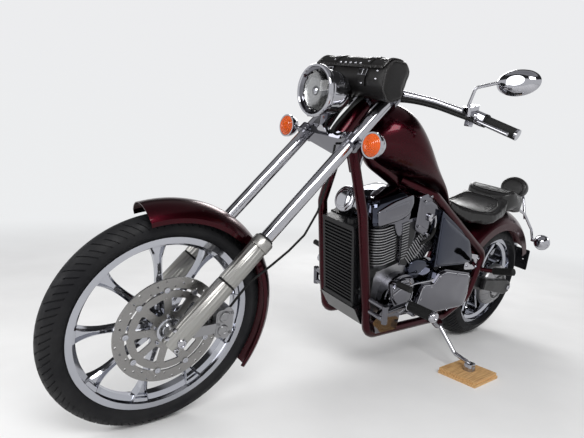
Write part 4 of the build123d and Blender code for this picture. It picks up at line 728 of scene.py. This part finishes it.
# columns: height above the fins, length, width, forward shift
LID = (
    (42, 234, 212, 10), (45, 239, 217, 10), (80, 232, 211, 10), (85, 229, 207, 10), (104, 217, 193, 8),
    (116, 205, 178, 7), (124, 193, 164, 6), (129, 160, 132, 6), (132, 90, 70, 6),
)
# columns: forward and up from the top of the fins; the skirt hangs in a V over the upper fins
SKIRT = (
    (86, 34), (84, 21), (-9, 6), (-18, -15), (-34, -52),
    (-45, -59), (-56, -58), (-91, -22), (-108, 20), (-106, 34),
)
FRONT_FACE = ((1040, 726), (952, 768), (850, 800), (834, 762), (848, 716), (905, 692), (1020, 668))
REAR_FACE = ((791, 790), (719, 812), (636, 786), (596, 716), (640, 650), (681, 611), (774, 648), (785, 745))
CORNER_STEPS = 7


def bank_up(bank):
    """The way up a cylinder."""
    return Vector((sin(radians(bank)), 0, cos(radians(bank))))


def bank_point(bank, along, ahead, y):
    """A point by its distance up a cylinder, ahead of its axis, and y."""
    up = bank_up(bank)
    return CRANK + up * along + Vector((up.z, 0, -up.x)) * ahead + Vector((0, y, 0))


def rounded_ring(bank, along, length, width, ahead):
    """A ring of points on a rounded rectangle across a cylinder."""
    corner = min(32, width / 2 - 1)
    ring = []
    for quarter, (u, v) in enumerate(((1, 1), (-1, 1), (-1, -1), (1, -1))):
        for step in range(CORNER_STEPS):
            turn = (quarter + step / (CORNER_STEPS - 1)) * pi / 2
            forward = u * (length / 2 - corner) + corner * cos(turn)
            across = v * (width / 2 - corner) + corner * sin(turn)
            ring.append(bank_point(bank, along, ahead + forward, across))
    return ring


def shrunk(outline, middle, share_x, share_z):
    """An outline drawn in towards a middle."""
    x0, z0 = middle
    return [(x0 + (x - x0) * share_x, z0 + (z - z0) * share_z) for x, z in outline]


plates, lids, head_screws = [], [], []
for bank, turned in BANKS:
    points = []
    for up, length, width, ahead in LID:
        points += rounded_ring(bank, FIN_TOP + up, length, width, ahead)
    lids.append((points, rings(len(LID), 4 * CORNER_STEPS)))
    outline = [bank_point(bank, FIN_TOP + up, turned * ahead, 0) for ahead, up in SKIRT]
    plates += [slab(outline, (0, side * 84.5, 0), (0, side * 7, 0), 2.5) for side in (1, -1)]
    for ahead in (-74, -32, 10, 52, 94):
        head_screws.append(bolt(bank_point(bank, FIN_TOP + 62, ahead, -107), RIGHT, 5.5, 5))
    for ahead, y in ((-68, -52), (-68, 52), (84, -52), (84, 52)):
        head_screws.append(bolt(bank_point(bank, FIN_TOP + 121, ahead, y), bank_up(bank), 7, 8))
plates.append(crowned(FRONT_FACE, 106, 7))
plates.append(crowned(shrunk(FRONT_FACE, (932, 738), 0.7, 0.6), 111.5, 3, 10))
for side in (1, -1):
    plates.append(crowned(REAR_FACE, side * 96, 10, 14, 70))
    plates.append(crowned(shrunk(REAR_FACE, (712, 712), 0.66, 0.66), side * 104, 4, 10, 8))
make_piece("head_plates", plates, chrome_painted_dim_reflection, smooth=28)
make_piece("head_lids", lids, chrome_painted_dark_reflection, smooth=28)

# %% Fins across the valley
# the CAD cover between the barrels is smooth; here the fins of both barrels run on over it, with a black plate
# behind them as painted shade in their gaps
FIN_ROWS = 14
FIN_PITCH = 12
FIN_THICK = 4.5
FIRST_FIN = 178
FIN_STEP = 2.5
VALLEY_LEAN = radians(-12)
VALLEY_GAP = 1.5
# outline of the black plate behind the valley fins: painted shade between the fins
SHADE = ((760, 0, 484), (806, 0, 492), (840, 0, 668), (752, 0, 690))
# where a bank's valley fins end, ahead of its axis
LAST = {14: -58, -38: 26}


def valley_ahead(point):
    """How far a point is ahead of the middle of the V."""
    return (point.x - CRANK.x) * cos(VALLEY_LEAN) - (point.z - CRANK.z) * sin(VALLEY_LEAN)


def fin_ends(bank, turned, along):
    """The points of a fin that lie in the valley, first and last, or nothing."""
    inside = []
    for step in range(-40, 41):
        ahead = step * FIN_STEP
        spot = bank_point(bank, along, ahead, 0)
        if turned * valley_ahead(spot) > VALLEY_GAP and turned * (ahead - LAST[bank]) < 0:
            inside.append(spot)
    return inside[:1] + inside[-1:]


fins = []
for bank, turned in BANKS:
    thick = bank_up(bank) * FIN_THICK
    for row in range(FIN_ROWS):
        ends = fin_ends(bank, turned, FIRST_FIN + row * FIN_PITCH)
        outline = ends + [end + thick for end in reversed(ends)]
        if ends:
            fins += [slab(outline, (0, side * 82, 0), (0, side * 14, 0), 0.8) for side in (1, -1)]
# black plates on both sides: painted shade in the gaps between the fins
shade = [slab(SHADE, (0, side * 89, 0), (0, side * 2.5, 0), 0.5) for side in (1, -1)]
make_piece("valley_fins", fins, cast_alloy, smooth=30)
make_piece("valley_shade", shade, black_paint)

# %% Crowned covers
LEFT_COVER = (
    (694, 266), (698, 330), (684, 406), (608, 404), (574, 448),
    (528, 457), (322, 424), (300, 330), (305, 276), (334, 266),
)
LEFT_COVER_Y = 149.5
SIDE_COVER = ((637, 712), (598, 487), (308, 483), (308, 505), (374, 598))
GEARBOX_COVER = (
    (748, 430), (752, 492), (724, 514), (650, 508), (606, 500), (562, 504), (550, 476), (598, 428), (700, 422)
)
ROUND_COVER = Vector((808, 0, 364))
ROUND_COVER_Y = 136
ROUND_DOME = ((71, -1), (71, 1.5), (68, 4), (60, 6), (44, 8.5), (26, 10), (8, 10.5))
HORN_DOME = ((40, -2), (39, 1), (36, 3.5), (28, 6), (16, 8), (5, 8.6))
PEG_BRACKET = ((375, 535), (232, 515), (227, 440), (359, 449))
PEG_BRACKET_SCREWS = ((258, 500), (256, 458), (346, 468))
dark_covers = [crowned(SIDE_COVER, side * 130, 9, 14) for side in (1, -1)]
dark_covers.append(crowned(GEARBOX_COVER, 96, 12, 22, 30))
make_piece("side_cover_skins", dark_covers, chrome_painted_dark_reflection, smooth=35)
pressed = [crowned(LEFT_COVER, LEFT_COVER_Y, 6), crowned(LEFT_COVER, 146, 2.5)]
pressed.append(lathe(ROUND_DOME, ROUND_COVER + Vector((0, ROUND_COVER_Y, 0)), LEFT, 64))
make_piece("crowned_covers", pressed, chrome_painted_dim_reflection, smooth=35)
rims = [swept(eased([(x, LEFT_COVER_Y, z) for x, z in LEFT_COVER]), 2.6, 8, True)]
round_rim = [ROUND_COVER + Vector((74 * c, ROUND_COVER_Y, 74 * s)) for c, s in circle(48)]
rims.append(swept(round_rim, 2.4, 8, True))
horn = [upright(vertex.co) for vertex in nodes["horn_cover"].data.vertices]
horn_way = Vector((0.97, 0, 0.25)).normalized()
reach = max(point.dot(horn_way) for point in horn)
front = [point for point in horn if point.dot(horn_way) > reach - 1]
rims.append(lathe(HORN_DOME, sum(front, Vector()) / len(front), horn_way, 48))
for side in (1, -1):
    rims.append(crowned(PEG_BRACKET, side * 133, 3, 12, 6))
    rims += [bolt((x, side * 135, z), (0, side, 0), 6, 5) for x, z in PEG_BRACKET_SCREWS]
make_piece("cover_rims", rims, chrome)

# %% Cover screws and shift linkage
COVER_SCREWS = (
    (684, 344), (684, 402), (626, 398), (574, 440), (436, 440),
    (328, 418), (308, 330), (318, 272), (450, 262), (600, 262),
)
CLUTCH = Vector((660, 0, 352))
LINK = ((930, 176, 400), (880, 170, 420), (760, 158, 430), (640, 156, 432))
LINK_JOINT = ((8, -6), (9, -2), (9, 2), (8, 6))
head_screws += [bolt((x, 151, z), LEFT, 5, 4.5) for x, z in COVER_SCREWS]
head_screws += screw_ring(LEFT, 5, 4.5, ROUND_COVER, 86, 7, 127.5, 0.4)
head_screws += screw_ring(RIGHT, 5, 4.5, CLUTCH, 98, 6, -119.5)
head_screws += [swept(LINK, 4, 10), lathe(LINK_JOINT, (640, 154, 432), LEFT, 16)]
make_piece("cover_screws", head_screws, chrome)

# %% Throttle lever and breather hose on the rear head
LEVER_HUB = ((15, -6), (17, -4), (17, 4), (12, 7), (5, 8))
LEVER_ARM = ((704, 122, 704), (690, 124, 716), (676, 123, 690), (668, 120, 664))
REAR_FACE_SCREWS = ((760, 772), (726, 794), (664, 770), (694, 628), (766, 664))
BREATHER = ((668, 118, 664), (660, 116, 640), (672, 112, 612), (694, 100, 590), (704, 84, 570))
lever = [lathe(LEVER_HUB, (704, 114, 704), LEFT, 32), swept(LEVER_ARM, 4.2, 10)]
lever += [bolt((x, 106, z), LEFT, 6, 7) for x, z in REAR_FACE_SCREWS]
make_piece("throttle_lever", lever, chrome)
make_piece("breather_hose", [swept(smooth_loop(BREATHER, False), 7, 12)], black_rubber)

# %% Fuel cap, peg ends and peg ribs
FUEL_CAP = ((34, -6), (34, 2), (31, 6), (22, 8), (20, 6), (12, 6), (10, 9))
PEG_END = ((21, 116), (22.5, 120), (22.5, 128), (19, 133), (10, 133), (8, 130))
PEG_COLLAR = ((15, -2), (19, 1), (22.5, 4), (22.5, 10), (20.6, 12))
ends = [lathe(FUEL_CAP, (905, 0, 1098), (-0.62, 0, 1), 40)]
peg_ribs = []
for side in (1, -1):
    foot = Vector((850, side * 204, 366))
    along = Vector((0, side * 128, 6)).normalized()
    across = along.orthogonal().normalized()
    ends += [lathe(PEG_END, foot, along, 28), lathe(PEG_COLLAR, foot, along, 28)]
    for c, s in circle(9):
        out = (across * c + along.cross(across) * s) * 19.8
        peg_ribs.append(swept([foot + out + along * t for t in (16, 18, 110, 112)], 2.4, 6))
make_piece("fuel_cap_and_peg_ends", ends, chrome)
make_piece("peg_ribs", peg_ribs, black_rubber)

# %% [markdown]
# ## Leather
#
# Seats, pad and bag are leather over foam or stiff board. Each CAD solid is copied, given an even
# mesh and blown up a little as cloth, so that its faces swell and its edges pull tight. Its seams
# and welts are laid on the finished skin.

# %% Swollen skins
PRESSURE = 4.0
STIFFNESS = 40
BENDING = 4
CLOTH_FRAMES = 20


def apply_modifiers(piece):
    """The piece's mesh becomes what its modifiers make of it."""
    graph = bpy.context.evaluated_depsgraph_get()
    piece.data = bpy.data.meshes.new_from_object(piece.evaluated_get(graph))
    piece.modifiers.clear()


def leather_skin(node, grid, cap, finish, body):
    """A soft skin over a CAD solid, which it replaces, swollen by cap metres at most.

    Returns a tree of the skin to lay seams on.
    """
    skin = bpy.data.objects.new(node + "_skin", nodes[node].data.copy())
    bpy.context.scene.collection.objects.link(skin)
    remesh = skin.modifiers.new("even_grid", "REMESH")
    remesh.mode = "VOXEL"
    remesh.voxel_size = grid
    apply_modifiers(skin)
    start = [vertex.co.copy() for vertex in skin.data.vertices]
    cloth = skin.modifiers.new("leather", "CLOTH")
    cloth.settings.use_pressure = True
    cloth.settings.uniform_pressure_force = PRESSURE
    cloth.settings.tension_stiffness = STIFFNESS
    cloth.settings.compression_stiffness = STIFFNESS
    cloth.settings.bending_stiffness = BENDING
    cloth.settings.effector_weights.gravity = 0
    cloth.point_cache.frame_end = CLOTH_FRAMES
    for moment in range(1, CLOTH_FRAMES + 1):
        bpy.context.scene.frame_set(moment)
    apply_modifiers(skin)
    moved = 0
    for vertex, before in zip(skin.data.vertices, start):
        step = vertex.co - before
        if step.length > cap:
            vertex.co = before + step.normalized() * cap
        moved = max(moved, (vertex.co - before).length)
    skin.data.materials.clear()
    skin.data.materials.append(finish)
    soften = skin.modifiers.new("soften", "SMOOTH")
    soften.factor = 0.6
    soften.iterations = 6
    finer = skin.modifiers.new("finer", "SUBSURF")
    finer.levels = 1
    finer.render_levels = 1
    apply_modifiers(skin)
    skin.data.shade_smooth()
    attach(skin, body)
    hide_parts(node)
    print(skin.name, len(skin.data.polygons), "faces, moved up to", round(moved * 1000, 1), "mm")
    faces = [tuple(face.vertices) for face in skin.data.polygons]
    return BVHTree.FromPolygons([vertex.co for vertex in skin.data.vertices], faces)


def laid(tree, starts, way, lift):
    """Where rays from upright starts meet a skin, lifted off it; those that miss are left out."""
    way = LEANED.to_3x3() @ Vector(way).normalized()
    hits = [tree.ray_cast(at(*start), way)[:2] for start in starts]
    return [upright(hit + normal * lift * MM) for hit, normal in hits if hit is not None]


seat_tree = leather_skin("rider_seat", 0.006, 0.01, seat_leather, "chassis")
pillion_tree = leather_skin("pillion_pad", 0.006, 0.008, seat_leather, "chassis")
back_tree = leather_skin("backrest_pad", 0.004, 0.005, seat_leather, "chassis")
bag_tree = leather_skin("handlebar_bag", 0.005, 0.006, black_leather, "steering")

# %% Welts on the seat, pillion pad and backrest
DOWN = (0, 0, -1)
ABOVE = 900
# columns: X, half width of the sewn panel
SEAT_PANEL = ((128, 70), (150, 104), (190, 118), (236, 120), (290, 104), (350, 78), (405, 52), (440, 34))
PAD_PANEL = (
    (-82, 92), (-40, 108), (20, 108), (74, 92), (84, 50), (84, -50),
    (74, -92), (20, -108), (-40, -108), (-82, -92), (-88, -40), (-88, 40),
)


def seam(tree, outline, lift, radius, sides):
    """A closed welt or row of stitches over an outline in X and Y, laid on a skin from above."""
    corners = smooth_loop([(x, y, ABOVE) for x, y in outline])
    return swept(laid(tree, corners, DOWN, lift), radius, sides, True)


stitched = [(x * 0.93 + 18, half * 0.86) for x, half in SEAT_PANEL]
welts = [
    seam(seat_tree, [*panel, *((x, -half) for x, half in reversed(panel))], *sizes)
    for panel, sizes in ((SEAT_PANEL, (0.6, 3.2, 8)), (stitched, (0.2, 1.3, 6)))
]
welts.append(seam(pillion_tree, PAD_PANEL, 0.6, 3.0, 8))
for x in (-34, 30):
    welts.append(swept(laid(pillion_tree, [(x, y, ABOVE) for y in range(-100, 101, 10)], DOWN, 0.2), 1.6, 6))
back_ring = [(-100, 56 * c, 838 + 44 * s) for c, s in circle(40)]
welts.append(swept(laid(back_tree, back_ring, (-1, 0, -0.02), 0.5), 2.2, 8, True))
make_piece("seat_welts", welts, black_leather)

# %% [markdown]
# ## Bag
#
# A flap comes over the bag from behind, its edge bound with a lace braid. Two straps with small
# buckles hold it down, round-headed studs follow the edge, and piping closes the end panels.

# %% Flap, braid, straps and studs
BAG_X = 1182
BAG_Z = 1182
FLAP_Y = 156
STRAP_YS = (-82, 82)
RIVET = ((3.6, 0), (3.2, 1.4), (1.8, 2.4), (0.4, 2.7))
STUD = ((5, 0), (4.4, 1.8), (2.6, 3.2), (0.5, 3.6))


def outward(turn):
    """The way out of the bag at an angle up from straight ahead."""
    return Vector((cos(turn), 0, sin(turn)))


def on_bag(turn, y, lift):
    """A point on the bag at an angle up from straight ahead, y across, lifted off the leather."""
    hit = bag_tree.ray_cast(at(BAG_X, y, BAG_Z), LEANED.to_3x3() @ outward(turn))[0]
    return upright(hit) + outward(turn) * lift


def band(turns, ys, lift, thickness):
    """A sheet of leather laid on the bag, with its thickness."""
    points = [on_bag(turn, y, height) for height in (lift, lift + thickness) for turn in turns for y in ys]
    wide = len(ys)
    layer = len(turns) * wide
    faces = []
    for base in (0, layer):
        for row in range(len(turns) - 1):
            for k in range(wide - 1):
                first = base + row * wide + k
                faces.append((first, first + 1, first + wide + 1, first + wide))
    edge = list(range(wide)) + [row * wide + wide - 1 for row in range(1, len(turns))]
    edge += [(len(turns) - 1) * wide + k for k in range(wide - 2, -1, -1)]
    edge += [row * wide for row in range(len(turns) - 2, 0, -1)]
    for first, second in zip(edge, edge[1:] + edge[:1]):
        faces.append((first, second, second + layer, first + layer))
    return points, faces


def turns_between(first, last, count):
    """Angles in radians from first to last degrees."""
    return [radians(first + (last - first) * k / (count - 1)) for k in range(count)]


flap_turns = turns_between(146, 34, 18)
flap_ys = [FLAP_Y * (k / 12 - 1) for k in range(25)]
flap = band(flap_turns, flap_ys, 0.8, 2.6)
make_piece("bag_flap", [flap], black_leather, "steering")
straps = [band(turns_between(140, -26, 26), [y - 13, y, y + 13], 3.6, 2.8) for y in STRAP_YS]
straps += [band(turns_between(8, 2, 3), [y - 17, y, y + 17], 6.2, 2.4) for y in STRAP_YS]
make_piece("bag_straps", straps, black_leather, "steering")
edge = [on_bag(turn, FLAP_Y, 3.4) for turn in flap_turns]
edge += [on_bag(flap_turns[-1], y, 3.4) for y in reversed(flap_ys)]
edge += [on_bag(turn, -FLAP_Y, 3.4) for turn in reversed(flap_turns)]
braid = []
for phase in (0, 2 * pi / 3, 4 * pi / 3):
    strand = []
    for index in range((len(edge) - 1) * 4):
        first, second = edge[index // 4], edge[index // 4 + 1]
        here = first.lerp(second, index % 4 / 4)
        out = (here - Vector((BAG_X, here.y, BAG_Z))).normalized()
        across = (second - first).normalized().cross(out)
        swing = index * 0.8 + phase
        strand.append(here + out * (1.0 + 1.8 * cos(2 * swing)) + across * (4.4 * sin(swing)))
    braid.append(swept(strand, 2.1, 6))
for y in (-170, 170):
    piping = [on_bag(turn, y, 0.3) for turn in turns_between(0, 350, 60)]
    braid.append(swept(piping, 3.2, 8, True))
make_piece("bag_braid", braid, waxed_lace, "steering")

metal = []
for y in STRAP_YS:
    for turn in turns_between(120, 50, 4) + [radians(-18)]:
        metal.append(lathe(RIVET, on_bag(turn, y, 6.2), outward(turn), 12))
    buckle = [on_bag(radians(turn), y + dy, 8) for turn, dy in ((22, -17), (22, 17), (6, 17), (6, -17))]
    metal.append(swept(buckle, 1.9, 8, True))
    metal.append(swept([on_bag(radians(turn), y, 9) for turn in (22, 6)], 1.3))
# columns: Y, degrees up from straight ahead, lift
studs = [(y, 44, 3.2) for y in (-48, -24, 0, 24, 48)]
studs += [(y, turn, 0.4) for y in (136, -136) for turn in (24, -2)]
for y, turn, lift in studs:
    metal.append(lathe(STUD, on_bag(radians(turn), y, lift), outward(radians(turn)), 14))
make_piece("bag_studs", metal, chrome, "steering")

# %% [markdown]
# ## Studio
#
# Chrome shows what stands around it, so the studio matters as much as the finish. The sky is pale
# low down, where the camera sees it, and has a dark band higher up that draws dark lines in the
# chrome. The floor is plain and pale, and takes on the sky's colour far away, so no edge shows.

# %% Floor and sky
PALE = (0.84, 0.85, 0.86, 1)


def seen_directly(tree):
    """1 for camera, glossy and transmission rays, 0 for the rays that light the object."""
    rays = add_node(tree, "LightPath")
    total = rays.outputs["Is Camera Ray"]
    for kind in ("Is Glossy Ray", "Is Transmission Ray"):
        both = add_node(tree, "Math", (0, total), (1, rays.outputs[kind]))
        both.operation = "MAXIMUM"
        total = both.outputs[0]
    return total


floor_finish = new_finish(
    "pale_floor", (0.8, 0.8, 0.79), 0.8, tint=((3, 5), (0.78, 0.78, 0.775), (0.82, 0.82, 0.815))
)
tree = floor_finish.node_tree
place = add_node(tree, "TexCoord")
distance = add_node(tree, "VectorMath", (0, place.outputs["Object"]))
distance.operation = "LENGTH"
fade = add_node(tree, "MapRange", Value=distance.outputs["Value"], From_Min=1.8, From_Max=5.5)
fade.interpolation_type = "SMOOTHSTEP"
far = add_node(tree, "Math", (0, fade.outputs["Result"]), (1, seen_directly(tree)))
far.operation = "MULTIPLY"
glow = add_node(tree, "Emission", Color=PALE).outputs["Emission"]
lit = tree.nodes["Principled BSDF"].outputs["BSDF"]
mix = add_node(tree, "MixShader", (0, far.outputs[0]), (1, lit), (2, glow))
tree.links.new(mix.outputs["Shader"], tree.nodes["Material Output"].inputs["Surface"])
bpy.ops.mesh.primitive_plane_add(size=80, location=(0, 0, 0))
floor = bpy.context.object
floor.name = "studio_floor"
floor.data.materials.append(floor_finish)

world = bpy.data.worlds.new("studio")
bpy.context.scene.world = world
world.use_nodes = True
tree = world.node_tree
background = tree.nodes["Background"]
place = add_node(tree, "TexCoord")
height = add_node(tree, "SeparateXYZ", Vector=place.outputs["Generated"])
ramp = add_node(tree, "ValToRGB", Fac=height.outputs["Z"])
soft = add_node(tree, "Mix")
soft.data_type = "RGBA"
soft.inputs[6].default_value = (0.5, 0.5, 0.51, 1)
tree.links.new(seen_directly(tree), soft.inputs[0])
tree.links.new(ramp.outputs["Color"], soft.inputs[7])
tree.links.new(soft.outputs[2], background.inputs["Color"])
stops = ramp.color_ramp.elements
stops[0].color = PALE
stops[1].color = (0.3, 0.3, 0.32, 1)
# columns: height of the sky from horizon to zenith, grey
for position, grey in ((0.42, 0.84), (0.48, 0.05), (0.74, 0.03), (0.82, 0.4)):
    stop = stops.new(position)
    stop.color = (grey, grey, grey * 1.02, 1)
background.inputs["Strength"].default_value = 1.0


# %% Lamps
def add_lamp(name, place, target, size, power):
    """A soft rectangular lamp at place that points at target."""
    light = bpy.data.lights.new(name, "AREA")
    light.shape = "RECTANGLE"
    light.size, light.size_y = size
    light.energy = power
    lamp = bpy.data.objects.new(name, light)
    lamp.location = place
    lamp.rotation_euler = (Vector(target) - Vector(place)).to_track_quat("-Z", "Y").to_euler()
    bpy.context.scene.collection.objects.link(lamp)


add_lamp("key", (1.8, 2.6, 3.2), (0, 0, 0.5), (2.6, 1.2), 110)
add_lamp("fill", (3.6, -0.6, 1.8), (0.4, 0, 0.5), (1.6, 1.6), 36)
add_lamp("back", (-2.6, -2.4, 2.8), (0, 0, 0.6), (2.4, 1.0), 70)

# %% Camera
# the photo's own camera: its place from the upright origin, its turns in radians, and its lens
PHOTO_W = 584
FOCAL_PX = 465.37
SHIFT_PX = (1.27, -0.77)
SENSOR = 36
EYE = Vector((2.39384, 1.36811, 0.82573))
YAW, PITCH, ROLL = -2.257, -0.1, 0.072
camera_data = bpy.data.cameras.new("photo_camera")
camera_data.sensor_width = SENSOR
camera_data.lens = SENSOR * FOCAL_PX / PHOTO_W
camera_data.shift_x, camera_data.shift_y = (shift / PHOTO_W for shift in SHIFT_PX)
camera = bpy.data.objects.new("photo_camera", camera_data)
ahead = Vector((cos(YAW) * cos(PITCH), sin(YAW) * cos(PITCH), sin(PITCH)))
level = ahead.cross(Vector((0, 0, 1))).normalized()
above = level.cross(ahead)
side = level * cos(ROLL) + above * sin(ROLL)
up = above * cos(ROLL) - level * sin(ROLL)
turn = Matrix((side, up, -ahead)).transposed().to_4x4()
camera.matrix_world = Matrix.Translation(LEANED.translation + EYE) @ turn
bpy.context.scene.collection.objects.link(camera)
bpy.context.scene.camera = camera
bpy.context.scene.view_settings.view_transform = "Standard"
